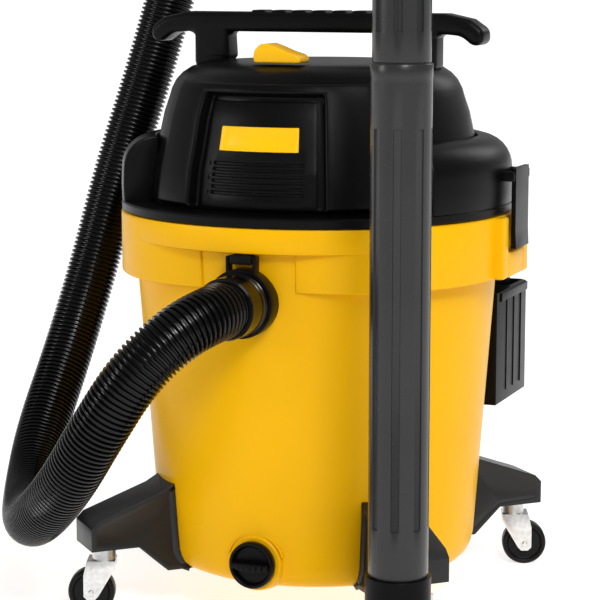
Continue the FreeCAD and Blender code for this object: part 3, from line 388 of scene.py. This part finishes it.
def routeLine(name, route):
    curve = bpy.data.curves.new(name, "CURVE")
    curve.dimensions = "3D"
    spline = curve.splines.new("NURBS")
    spline.points.add(len(route) - 1)
    for point, spot in zip(spline.points, route):
        point.co = (*spot, 1)
    spline.order_u = 3
    spline.use_endpoint_u = True
    spline.resolution_u = 40
    line = bpy.data.objects.new(name, curve)
    bpy.context.scene.collection.objects.link(line)
    bpy.context.view_layer.update()
    mesh = bpy.data.meshes.new_from_object(line.evaluated_get(bpy.context.evaluated_depsgraph_get()))
    spots = [vertex.co.copy() for vertex in mesh.vertices]
    bpy.data.objects.remove(line)
    return spots


def evenly(spots, step):
    # the line's points at equal distances
    total = sum((b - a).length for a, b in zip(spots, spots[1:]))
    count = round(total / step)
    step = total / count
    out = [spots[0].copy()]
    travelled = 0
    wanted = step
    for a, b in zip(spots, spots[1:]):
        run = (b - a).length
        while wanted <= travelled + run + 1e-9 and len(out) < count:
            out.append(a.lerp(b, (wanted - travelled) / run))
            wanted += step
        travelled += run
    out.append(spots[-1].copy())
    return out


def corrugatedTube(name, spots, setup):
    # rings about the line: a rounded crest of three, then a narrow valley of two
    sides = setup["sides"]
    crest, valley = setup["crest"], setup["valley"]
    shoulder = crest - setup["round"]
    radii = [shoulder, crest, shoulder, valley, valley]
    across = Vector((1, 0, 0))
    vertices = []
    faces = []
    last = len(spots) - 1
    for i, spot in enumerate(spots):
        along = (spots[min(i + 1, last)] - spots[max(i - 1, 0)]).normalized()
        across = (across - along * across.dot(along)).normalized()
        up = along.cross(across)
        radius = radii[i % len(radii)]
        for k in range(sides):
            angle = 2 * math.pi * k / sides
            vertices.append(spot + across * (radius * math.cos(angle)) + up * (radius * math.sin(angle)))
    for i in range(last):
        for k in range(sides):
            a, b = i * sides + k, i * sides + (k + 1) % sides
            faces.append((a, b, b + sides, a + sides))
    faces.append(tuple(range(sides))[::-1])
    faces.append(tuple(last * sides + k for k in range(sides)))
    mesh = bpy.data.meshes.new(name)
    mesh.from_pydata(vertices, [], faces)
    piece = bpy.data.objects.new(name, mesh)
    bpy.context.scene.collection.objects.link(piece)
    return piece


hoseLine = evenly(routeLine("hoseRoute", hoseSetup["route"]), hoseSetup["pitch"] / hoseSetup["rings"])
hose = corrugatedTube("hose_corrugated", hoseLine, hoseSetup)
handedOver(hose, "hose", 50)
print("hose made", len(hoseLine), "rings")


# cuffs at the two ends of the hose
inletHeight = middleOf("hose_cuff_tank")[2]
wandSpot = middleOf("wand_upper")[:2]
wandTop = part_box("wand_upper")[1].z
tankCuffSetup = {"bore": 0.0270, "pipe": 0.0318, "neck": 0.0322, "ridge": 0.0334, "sleeve": 0.0325,
                 "back": 0.1965, "front": 0.2616}
wandCuffSetup = {"bore": 0.0220, "plug": 0.0263, "plugDepth": 0.044, "grip": 0.0330, "groove": 0.0316,
                 "grooves": 5, "pitch": 0.006, "collar": 0.0336, "top": 1.1102}
cuffSegments = 72


def makeTankCuff():
    bore, pipe, neck = tankCuffSetup["bore"], tankCuffSetup["pipe"], tankCuffSetup["neck"]
    ridge, sleeve = tankCuffSetup["ridge"], tankCuffSetup["sleeve"]
    back, front = tankCuffSetup["back"], tankCuffSetup["front"]
    cuff = ringLoft("hose_cuff_at_tank", [
        (bore, back), (pipe, back), (pipe, 0.2222), (ridge - 0.0002, 0.2228), (ridge, 0.2262), (neck, 0.2270),
        (neck, 0.2300), (ridge, 0.2308), (ridge, 0.2345), (sleeve, 0.2352), (sleeve, front - 0.0016),
        (sleeve - 0.0015, front), (bore, front), (bore, back),
    ], cuffSegments, closed=True)
    placed(cuff, (0, 0, inletHeight), 90)
    return handedOver(cuff, "hose_cuff_tank", 40)


def makeWandCuff():
    bore, plug, grip = wandCuffSetup["bore"], wandCuffSetup["plug"], wandCuffSetup["grip"]
    groove, collar, top = wandCuffSetup["groove"], wandCuffSetup["collar"], wandCuffSetup["top"]
    foot = wandTop - wandCuffSetup["plugDepth"]
    rings = [(bore, foot), (plug, foot), (plug, wandTop + 0.0002), (grip, wandTop + 0.0004)]
    for i in range(wandCuffSetup["grooves"]):
        base = wandTop + 0.003 + wandCuffSetup["pitch"] * i
        rings += [(grip, base), (groove, base + 0.0012), (groove, base + 0.0036), (grip, base + 0.0048)]
    # a collar takes in the hose's slanted end
    rings += [(collar, wandTop + 0.0340), (collar, top - 0.0012), (collar - 0.0012, top), (bore, top),
              (bore, foot)]
    cuff = ringLoft("hose_cuff_at_wand", rings, cuffSegments, closed=True)
    placed(cuff, (*wandSpot, 0))
    return handedOver(cuff, "hose_cuff_wand", 40)


tankCuff = makeTankCuff()
wandCuff = makeWandCuff()
print("cuffs made")


# drum with its deep side skirts, latch pads and drain mouth
drumSetup = {
    "base": 0.178, "top": 0.207, "rim": 0.219, "wall": 0.003, "band": 0.027, "segments": 160,
    "skirtDrop": 0.068, "skirtSweep": 150, "skirtSteps": 60, "skirtFull": 44, "skirtFade": 30,
    "padDepth": 0.016, "inletHole": 0.0348,
    # each latch stands in a notch: the pad's part from y to y, and its drop from the top
    "padParts": [(-0.0295, -0.0105, 0.001), (-0.0115, 0.0475, 0.040), (0.0465, 0.0655, 0.001)],
}


def wallAt(height):
    return drumSetup["base"] + (drumSetup["top"] - drumSetup["base"]) * height / tankTop


def drumShell():
    rim, wall = drumSetup["rim"], drumSetup["wall"]
    band = tankTop - drumSetup["band"]
    corner = [(0.150, 0), (0.160, 0.0006), (0.1685, 0.0045), (0.1745, 0.0105), (0.1780, 0.018)]
    walls = [(wallAt(h), h) for h in (0.027, 0.060, 0.140, 0.240, 0.320)]
    edge = [(wallAt(band), band - 0.0005), (rim - 0.004, band), (rim - 0.0012, band + 0.001),
            (rim, band + 0.0035), (rim, tankTop - 0.003), (rim - 0.0008, tankTop - 0.0008),
            (rim - 0.003, tankTop), (drumSetup["top"] - wall, tankTop)]
    inside = [(wallAt(h) - wall, h) for h in (0.340, 0.200, 0.060, 0.027)] + [(0.1735, 0.0145), (0.150, wall)]
    return ringLoft("drum", corner + walls + edge + inside, drumSetup["segments"])


def drumSkirt(middle, low):
    radii = (wallAt(low) - 0.001, drumSetup["rim"] + 0.0006)
    heights = (low, tankTop - 0.0012)
    skirt = bentBlock("skirt", radii, heights, drumSetup["skirtSweep"], drumSetup["skirtSteps"], middle)
    for vertex in skirt.data.vertices:
        # the ends run down into the wall
        off = abs((math.degrees(math.atan2(vertex.co.y, vertex.co.x)) - middle + 180) % 360 - 180)
        fade = min(1, max(0, (off - drumSetup["skirtFull"]) / drumSetup["skirtFade"])) ** 2
        reach = math.hypot(vertex.co.x, vertex.co.y)
        close = reach + (min(reach, wallAt(vertex.co.z) + 0.0022) - reach) * fade
        vertex.co.x *= close / reach
        vertex.co.y *= close / reach
    bevelled(skirt, 0.0016, 3)
    return skirt


def latchPads(low):
    pads = []
    for side in (-1, 1):
        inner, outer = side * (drumSetup["rim"] - drumSetup["padDepth"]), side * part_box("tank")[1].x
        for start, end, drop in drumSetup["padParts"]:
            pads.append(softBlock("pad", (inner, start, low), (outer, end, tankTop - drop), 0.0025, 3))
    return pads


def drainMouth():
    # a boss round the drain and a raised arch over it
    height = middleOf("drain_seal")[2]
    boss = ringLoft("boss", [(0.0200, 0.168), (0.0330, 0.168), (0.0300, 0.1825), (0.0285, 0.1839),
                             (0.0235, 0.1840), (0.0200, 0.1835), (0.0200, 0.168)], 64, closed=True)
    placed(boss, (0, 0, height), 90)
    hood = sweptOutline("drain_hood", [(0.0305, 0.160), (0.0350, 0.160), (0.0340, 0.1822), (0.0315, 0.1826)],
                        150, 30, 90)
    bevelled(hood, 0.0012, 2)
    placed(hood, (0, 0, height), 90)
    return [boss, hood]


def makeDrum():
    low = tankTop - drumSetup["skirtDrop"]
    drum = drumShell()
    skirts = [drumSkirt(0, low), drumSkirt(180, low)]
    joinedTo(drum, skirts + latchPads(low) + drainMouth())
    # hole for the inlet's pipe
    clearSelection()
    bpy.ops.mesh.primitive_cylinder_add(vertices=72, radius=drumSetup["inletHole"], depth=0.09,
                                        location=(0, -0.205, inletHeight), rotation=(math.pi / 2, 0, 0))
    cutter = bpy.context.object
    applied(drum, "BOOLEAN", operation="DIFFERENCE", object=cutter, solver="EXACT")
    bpy.data.objects.remove(cutter)
    handedOver(drum, "tank", 32)


makeDrum()
print("drum made")


# lid with its raised shoulder and the latches' lugs
lidSetup = {
    "bore": 0.040, "tongue": 0.190, "edge": 0.2190, "plate": 0.011, "deck": 0.004, "segments": 160,
    "shoulderInner": 0.180, "shoulderWidth": 0.0390, "shoulderRound": 0.036, "shoulderSweep": 250,
    "lugs": (-0.0108, 0.0468), "lugHalf": 0.0022, "lugReach": (0.211, 0.2335), "lugHeights": (0.4345, 0.4455),
}


def makeLid():
    bore, tongue, edge = lidSetup["bore"], lidSetup["tongue"], lidSetup["edge"]
    low = tankTop + 0.0003
    top = low + lidSetup["plate"]
    deck = low + lidSetup["deck"]
    lid = ringLoft("lid_ring", [
        (bore, low), (tongue, low), (tongue, low - 0.012), (tongue + 0.006, low - 0.012),
        (tongue + 0.006, low), (edge - 0.0018, low), (edge, low + 0.0016), (edge, top - 0.0022),
        (edge - 0.0018, top - 0.0004), (edge - 0.0050, top), (tongue, top), (tongue, deck), (bore, deck),
        (bore, low),
    ], lidSetup["segments"], closed=True)
    inner, width, rounding = lidSetup["shoulderInner"], lidSetup["shoulderWidth"], lidSetup["shoulderRound"]
    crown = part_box("lid")[1].z
    outline = [(inner, top - 0.002), (edge - 0.0004, top - 0.002), (edge + 0.0002, top + 0.018)]
    for i in range(9):
        angle = math.radians(90 * i / 8)
        radius = inner - 0.0005 + width * math.cos(angle) ** 0.85
        outline.append((radius, crown - rounding + rounding * math.sin(angle)))
    shoulder = sweptOutline("shoulder", outline, lidSetup["shoulderSweep"], 120, 90)
    bevelled(shoulder, 0.0022, 3, 40)
    extras = [shoulder]
    (start, end), (foot, head), half = lidSetup["lugReach"], lidSetup["lugHeights"], lidSetup["lugHalf"]
    for side in (-1, 1):
        for y in lidSetup["lugs"]:
            inner, outer = (side * start, y - half, foot), (side * end, y + half, head)
            extras.append(softBlock("lug", inner, outer, 0.0018, 3))
    joinedTo(lid, extras)
    handedOver(lid, "lid", 35)


makeLid()
print("lid made")


# motor cover with its framed front
coverSetup = {
    "segments": 120, "foot": 0.413, "frame": 0.0070, "frameAngle": 42, "frameTop": 0.5405,
    "recess": 0.0150, "panelAngle": 24, "panelTop": 0.5312, "edge": 0.0048,
}


def angleFromFront(spot):
    return math.degrees(math.atan2(spot.x, -spot.y))


def makeCover():
    low, top = (corner.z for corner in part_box("motor_cover"))
    foot = coverSetup["foot"]
    cover = ringLoft("cover_dome", [
        (0.1880, low), (0.1880, low + 0.011), (0.1868, 0.425), (0.1835, 0.450), (0.1760, 0.480),
        (0.1705, 0.505), (0.1645, 0.5225), (0.1620, 0.531), (0.1570, 0.5405), (0.1500, 0.5480),
        (0.1400, 0.5545), (0.1270, 0.5585), (0.1130, top), (0.0700, top),
    ], coverSetup["segments"])
    # broad frame round the panel stands proud, and the panel's field goes in
    pushed(cover, lambda c, n: abs(angleFromFront(c)) < coverSetup["frameAngle"]
           and foot < c.z < coverSetup["frameTop"] and n.z > -0.5, coverSetup["frame"])
    pushed(cover, lambda c, n: abs(angleFromFront(c)) < coverSetup["panelAngle"]
           and foot < c.z < coverSetup["panelTop"] and n.y < -0.5, -coverSetup["recess"])
    bevelled(cover, coverSetup["edge"], 4, 40)
    handedOver(cover, "motor_cover", 38)


makeCover()
print("cover made")


# front panel with its grooves and dots, and the plain badge
panelSetup = {
    "foot": 0.4125, "back": -0.0085, "front": -0.0045, "sweep": 43, "steps": 28,
    "grooves": 6, "firstGroove": 0.4285, "groovePitch": 0.0062, "grooveHalf": 0.0016, "grooveDepth": 0.0028,
    "grooveAngle": 17, "dotSweep": 1.1, "dotTurn": -18.8,
}
badgeSetup = {"heights": [0.4725, 0.4740, 0.480, 0.4965, 0.498], "back": -0.0052, "front": -0.0024,
              "sweep": 30, "steps": 16, "field": (0.4745, 0.496), "fieldAngle": 13.6}


def skinRadius(height):
    # the cover's face, between its drawn heights
    steps = [(0.408, 0.1880), (0.425, 0.1868), (0.450, 0.1835), (0.480, 0.1760), (0.505, 0.1705),
             (0.5225, 0.1645), (0.532, 0.1618)]
    for (lowZ, lowR), (highZ, highR) in zip(steps, steps[1:]):
        if height <= highZ:
            return lowR + (highR - lowR) * max(0, height - lowZ) / (highZ - lowZ)
    return steps[-1][1]


def curvedPlate(name, heights, back, front, sweep, steps):
    # a plate that follows the cover's face, from one depth to another
    inner = [(skinRadius(h) + back, h) for h in heights]
    outer = [(skinRadius(h) + front, h) for h in heights]
    return sweptOutline(name, inner + outer[::-1], sweep, steps, 270)


def makePanel():
    first, pitch, half = panelSetup["firstGroove"], panelSetup["groovePitch"], panelSetup["grooveHalf"]
    grooves = [first + pitch * i for i in range(panelSetup["grooves"])]
    edges = [h for g in grooves for h in (g - half, g + half)]
    heights = [panelSetup["foot"]] + edges + [0.480, 0.505, 0.524]
    panel = curvedPlate("panel_plate", heights, panelSetup["back"], panelSetup["front"], panelSetup["sweep"],
                        panelSetup["steps"])
    pushed(panel, lambda c, n: n.y < -0.6 and abs(angleFromFront(c)) < panelSetup["grooveAngle"]
           and any(abs(c.z - g) < half - 0.0001 for g in grooves), -panelSetup["grooveDepth"])
    bevelled(panel, 0.0009, 2, 40)
    dots = []
    for height in (grooves[0], grooves[2] + 0.003, grooves[5]):
        dot = curvedPlate("dot", [height - half, height + half], -0.005, -0.0034, panelSetup["dotSweep"], 2)
        dot.rotation_euler = (0, 0, math.radians(panelSetup["dotTurn"]))
        settled(dot)
        dots.append(dot)
    joinedTo(panel, dots)
    handedOver(panel, "front_panel", 35)


def makeBadge():
    badge = curvedPlate("badge_plate", badgeSetup["heights"], badgeSetup["back"], badgeSetup["front"],
                        badgeSetup["sweep"], badgeSetup["steps"])
    bevelled(badge, 0.0010, 3, 40)
    low, high = badgeSetup["field"]
    insetInto(badge, lambda c, n: n.y < -0.6 and abs(angleFromFront(c)) < badgeSetup["fieldAngle"]
              and low < c.z < high, [(0.0012, -0.0007)])
    handedOver(badge, "badge", 35)


makePanel()
makeBadge()
print("panel made")


# carry handle with its grip bumps, on posts that sink a little into the cover
handleSetup = {"bumps": 6, "firstBump": -0.066, "bumpPitch": 0.024, "bumpHalf": (0.009, 0.013),
               "post": (0.1035, 0.1440), "postHalf": 0.0168, "postDrop": 0.0625}


def makeHandle():
    handle = softCopy("handle", 0.0075, 5, 25, "handle_grip")
    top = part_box("handle")[1].z
    along, across = handleSetup["bumpHalf"]
    extras = []
    for i in range(handleSetup["bumps"]):
        x = handleSetup["firstBump"] + handleSetup["bumpPitch"] * i
        extras.append(softBlock("bump", (x - along, -across, top - 0.004), (x + along, across, top + 0.0022),
                                0.0028, 4))
    (start, end), half = handleSetup["post"], handleSetup["postHalf"]
    for side in (-1, 1):
        extras.append(softBlock("post", (side * start, -half, top - handleSetup["postDrop"]),
                                (side * end, half, top - 0.016), 0.0070, 5))
    joinedTo(handle, extras)
    handedOver(handle, "handle", 40)


makeHandle()
print("handle made")


# switch: a paddle with a high end and a slim end, over a plain base
switchSetup = {
    "profile": [(-0.0260, -0.0092), (0.0265, -0.0092), (0.0275, -0.0050), (0.0240, -0.0005),
                (0.0120, 0.0030), (-0.0020, 0.0085), (-0.0110, 0.0115), (-0.0190, 0.0105),
                (-0.0250, 0.0050), (-0.0268, -0.0020)],
    "edge": 0.0032, "plateHeight": 0.0242,
}


def makePaddle():
    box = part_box("switch_paddle")
    front, back = box[0].y + 0.001, box[1].y - 0.003
    level = middleOf("switch_paddle")[2]
    profile = switchSetup["profile"]
    clearSelection()
    bpy.ops.mesh.primitive_circle_add(vertices=len(profile), radius=0.01, fill_type="NGON")
    paddle = bpy.context.object
    paddle.name = "switch_paddle_moulded"
    for vertex, (x, z) in zip(paddle.data.vertices, profile):
        vertex.co = (x, front, level + z)
    editing(paddle, "FACE")
    bpy.ops.mesh.select_all(action="SELECT")
    bpy.ops.mesh.extrude_region_move(TRANSFORM_OT_translate={"value": (0, back - front, 0)})
    tidied(paddle)
    bevelled(paddle, switchSetup["edge"], 5, 25)
    handedOver(paddle, "switch_paddle", 45)


def makeSwitchBase():
    low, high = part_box("switch_box")
    plate = softBlock("switch_base", low, (high.x, high.y, low.z + switchSetup["plateHeight"]), 0.0008)
    handedOver(plate, "switch_box", 35)


makePaddle()
makeSwitchBase()
print("switch made")


# wand tubes with their flutes
wandSetup = {
    "flutes": 8, "firstFlute": -77.9, "fluteHalf": 7.5, "fluteDepth": 0.0017, "segments": 96,
    "spigot": 0.0279, "spigotBore": 0.0245, "spigotDepth": 0.050, "upper": 0.0285, "upperBore": 0.0265,
    "lower": 0.0300, "lowerBore": 0.0280, "bell": 0.0303,
}


def onFlute(spot):
    angle = math.degrees(math.atan2(spot.y - wandSpot[1], spot.x - wandSpot[0]))
    pitch = 360 / wandSetup["flutes"]
    off = (angle - wandSetup["firstFlute"] + pitch / 2) % pitch - pitch / 2
    return abs(off) < wandSetup["fluteHalf"]


def makeTube(name, node, rings, span):
    # a tube that is fluted between two heights
    tube = ringLoft(name, rings, wandSetup["segments"], closed=True)
    tube.rotation_euler = (0, 0, math.radians(wandSetup["firstFlute"]))
    tube.location = (*wandSpot, 0)
    settled(tube)
    pushed(tube, lambda c, n: span[0] < c.z < span[1] and onFlute(c)
           and n.dot(Vector((c.x - wandSpot[0], c.y - wandSpot[1], 0))) > 0.01, -wandSetup["fluteDepth"])
    bevelled(tube, 0.0007, 2, 35)
    handedOver(tube, node, 32)


def makeUpperTube():
    joint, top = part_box("wand_lower")[1].z, wandTop
    tube, bore = wandSetup["upper"], wandSetup["upperBore"]
    spigot, spigotBore = wandSetup["spigot"], wandSetup["spigotBore"]
    foot = joint - wandSetup["spigotDepth"]
    span = (joint + 0.030, top - 0.060)
    makeTube("wand_upper_tube", "wand_upper", [
        (spigotBore, foot), (spigot, foot), (spigot, joint + 0.0002), (spigot, joint + 0.0008),
        (tube, joint + 0.0014), (tube, span[0]), (tube, span[1]), (tube, top - 0.0008), (tube - 0.0006, top),
        (bore, top), (bore, joint), (spigotBore, joint - 0.002), (spigotBore, foot),
    ], span)


def makeLowerTube():
    foot, joint = (corner.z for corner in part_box("wand_lower"))
    tube, bore, bell = wandSetup["lower"], wandSetup["lowerBore"], wandSetup["bell"]
    span = (foot + 0.050, joint - 0.062)
    makeTube("wand_lower_tube", "wand_lower", [
        (bore, foot), (tube, foot), (tube, span[0]), (tube, span[1]), (tube, joint - 0.018),
        (tube, joint - 0.014), (bell, joint - 0.013), (bell, joint - 0.001), (bell - 0.0006, joint),
        (bore, joint), (bore, foot),
    ], span)


makeUpperTube()
makeLowerTube()
print("wand made")


# accessory holder with a lip round its top and ribs on its flanks
caddySetup = {
    "lip": 0.0022, "lipBand": (0.0110, 0.0010), "rib": 0.0012, "ribHalf": 0.0015, "ribInset": 0.012,
    "sideRibs": 3, "firstSideRib": 0.1500, "sidePitch": 0.0290,
    "backRibs": 11, "firstBackRib": -0.150, "backPitch": 0.030,
}


def makeCaddy():
    low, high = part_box("caddy")
    lip, rib, half = caddySetup["lip"], caddySetup["rib"], caddySetup["ribHalf"]
    lipFoot, lipHead = (high.z - drop for drop in caddySetup["lipBand"])
    ribFoot, ribHead = low.z + caddySetup["ribInset"], high.z - caddySetup["ribInset"]
    caddy = softCopy("caddy", 0.0035, 3)
    extras = []
    for side in (-1, 1):
        inner = side * (high.x - 0.001)
        lipX, ribX = side * (high.x + lip), side * (high.x + rib)
        extras.append(softBlock("lip", (inner, 0.1230, lipFoot), (lipX, high.y - 0.009, lipHead), 0.0010))
        for i in range(caddySetup["sideRibs"]):
            y = caddySetup["firstSideRib"] + caddySetup["sidePitch"] * i
            extras.append(softBlock("rib", (inner, y - half, ribFoot), (ribX, y + half, ribHead), 0.0007))
    back = high.y - 0.001
    extras.append(softBlock("lip", (low.x + 0.010, back, lipFoot), (high.x - 0.010, high.y + lip, lipHead),
                            0.0010))
    for i in range(caddySetup["backRibs"]):
        x = caddySetup["firstBackRib"] + caddySetup["backPitch"] * i
        extras.append(softBlock("rib", (x - half, back, ribFoot), (x + half, high.y + rib, ribHead), 0.0007))
    joinedTo(caddy, extras)
    handedOver(caddy, "caddy", 38)


# crevice tool with a ridged collar
creviceSetup = {"tip": 0.0092, "ridges": 7, "ridgePitch": 0.0052, "ridgeDepth": 0.0016, "wall": 0.0030,
                "pole": 0.0010, "segments": 56}


def makeCreviceTool():
    low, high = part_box("crevice_tool")
    reach, foot, top = (high.x - low.x) / 2, low.z, high.z
    groove, bore = reach - creviceSetup["ridgeDepth"], reach - creviceSetup["wall"]
    tip, pole = creviceSetup["tip"], creviceSetup["pole"]
    rings = [(pole, foot), (tip, foot), (tip + 0.0008, foot + 0.001), (0.0160, top - 0.106),
             (0.0200, top - 0.0425), (bore, top - 0.0405)]
    for i in range(creviceSetup["ridges"]):
        base = top - 0.0390 + creviceSetup["ridgePitch"] * i
        rings += [(reach, base), (reach, base + 0.0030), (groove, base + 0.0036), (groove, base + 0.0046)]
    rings += [(reach, top - 0.0022), (reach - 0.0006, top - 0.0004), (reach - 0.0012, top), (bore, top),
              (bore, top - 0.0340), (pole, top - 0.0340), (pole, foot)]
    tool = ringLoft("crevice_tool_moulded", rings, creviceSetup["segments"], closed=True)
    spot = middleOf("crevice_tool")
    placed(tool, (spot[0], spot[1], 0))
    handedOver(tool, "crevice_tool", 35)


# drain cap with a grip bar that bulges in its middle
drainCapSetup = {"seat": 0.0196, "disc": 0.0256, "well": 0.0030, "rimHeight": 0.0086, "pole": 0.0010,
                 "segments": 72, "grips": 7, "gripPitch": 0.0060, "gripReach": 0.0180, "bulge": 0.0034}


def makeDrainCap():
    height = middleOf("drain_seal")[2]
    face = -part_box("drain_seal")[0].y
    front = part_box("drain_cap")[0].y + 0.0042
    seat, disc, pole = drainCapSetup["seat"], drainCapSetup["disc"], drainCapSetup["pole"]
    well, rimHeight = face + drainCapSetup["well"], face + drainCapSetup["rimHeight"]
    cap = ringLoft("drain_cap_disc", [
        (pole, face - 0.0140), (seat - 0.0006, face - 0.0140), (seat, face - 0.0132), (seat, face),
        (disc - 0.0006, face), (disc, face + 0.0008), (disc, face + 0.0070), (disc - 0.0010, rimHeight),
        (0.0222, rimHeight), (0.0205, face + 0.0070), (0.0195, well), (pole, well),
    ], drainCapSetup["segments"])
    placed(cap, (0, 0, height), 90)
    bars = []
    for i in range(drainCapSetup["grips"]):
        x = drainCapSetup["gripPitch"] * i - drainCapSetup["gripReach"]
        bulge = drainCapSetup["bulge"] * math.cos(x / drainCapSetup["gripReach"] * math.pi / 2)
        tall = 0.0032 + 0.3 * bulge
        bars.append(softBlock("bar", (x - 0.0033, front - bulge, height - tall),
                              (x + 0.0033, 0.001 - face, height + tall), 0.0012, 3))
    joinedTo(cap, bars)
    handedOver(cap, "drain_cap", 40)


makeCaddy()
makeCreviceTool()
makeDrainCap()
print("holder, tool and drain cap made")


# pieces whose CAD shape is right get eased edges
easedWidths = {
    "inlet_port": 0.0009, "inlet_lock": 0.0022, "latch_left": 0.0014, "latch_right": 0.0014,
    "blower_port": 0.0010, "cord_gland": 0.0008, "floor_nozzle": 0.0040,
    "filter_nut": 0.0020, "nozzle_brush": 0.0010,
}
# edge width, segments, edge angle and smoothing angle
casterEdges = {"caster_fork_": (0.0007, 2, 35, 35), "caster_wheel_": (0.0010, 3, 30, 38),
               "caster_axle_": (0.0006, 2, 40, 40)}
footSetup = {"edge": 0.0050, "flank": [(0.0055, 0), (0.0015, -0.0016)]}


def onFlank(centre, normal):
    # the two long upright sides of a foot, which point across its own direction
    slanted = abs(abs(normal.x) - abs(normal.y)) < 0.05
    across = abs(normal.x * centre.x + normal.y * centre.y) < 0.04
    return abs(normal.z) < 0.05 and slanted and normal.dot(centre) < 0.1 and across


def makeFoot(node):
    foot = softCopy(node, footSetup["edge"], 4)
    insetInto(foot, onFlank, footSetup["flank"])
    # the feet take the lighter black, painted light for their lit sides
    handedOver(foot, node, 40, finishes["lit_foot_black"])


for node, width in easedWidths.items():
    handedOver(softCopy(node, width, 3), node, 38)
for corner in corners:
    makeFoot("caster_foot_" + corner)
    for stem, (width, segments, angle, smooth) in casterEdges.items():
        handedOver(softCopy(stem + corner, width, segments, angle), stem + corner, smooth)
print("eased pieces made")


# studio
studioSetup = {
    "floorShades": ((0.61, 0.61, 0.61), (0.63, 0.63, 0.63)), "floorGlow": 0.72, "worldStrength": 0.36,
    "sunTurn": (38, 16, 30), "sunEnergy": 1.15, "sunAngle": 35,
    # name, place, target, size and power
    "lamps": [("keyLight", (1.5, -2.3, 2.1), (0, 0, 0.3), 0.7, 40),
              ("backLight", (1.2, 2.4, 1.9), (0, 0, 0.4), 1.2, 12),
              ("fillLight", (-2.2, -1.8, 1.2), (0, 0, 0.3), 0.8, 14)],
}


def makeFloor():
    clearSelection()
    bpy.ops.mesh.primitive_plane_add(size=160, location=(0, 40, floorLevel))
    ground = bpy.context.object
    ground.name = "studio_floor"
    material, tree, shader, place = blankMaterial("paleFloor")
    mottle = noiseOn(tree, place, 2, 2)
    shade = rampOf(tree, mottle.outputs["Fac"], *studioSetup["floorShades"])
    tree.links.new(shade, shader.inputs["Base Color"])
    shader.inputs["Roughness"].default_value = 0.8
    shader.inputs["Specular IOR Level"].default_value = 0.1
    shader.inputs["Emission Color"].default_value = (1, 1, 1, 1)
    shader.inputs["Emission Strength"].default_value = studioSetup["floorGlow"]
    ground.data.materials.append(material)


def makeWorld():
    world = bpy.data.worlds.new("studio")
    bpy.context.scene.world = world
    world.use_nodes = True
    background = world.node_tree.nodes["Background"]
    background.inputs["Color"].default_value = (1, 1, 1, 1)
    background.inputs["Strength"].default_value = studioSetup["worldStrength"]


def sunLight():
    clearSelection()
    bpy.ops.object.light_add(type="SUN", rotation=[math.radians(turn) for turn in studioSetup["sunTurn"]])
    sun = bpy.context.object
    sun.data.energy = studioSetup["sunEnergy"]
    sun.data.angle = math.radians(studioSetup["sunAngle"])


def softLight(name, spot, target, size, power):
    clearSelection()
    bpy.ops.object.light_add(type="AREA", location=spot)
    lamp = bpy.context.object
    lamp.name = name
    lamp.data.size = size
    lamp.data.energy = power
    aim = Vector(target) - Vector(spot)
    lamp.rotation_euler = aim.to_track_quat("-Z", "Y").to_euler()


makeFloor()
makeWorld()
sunLight()
for lamp in studioSetup["lamps"]:
    softLight(*lamp)
bpy.context.scene.view_settings.view_transform = "Standard"
print("studio made")
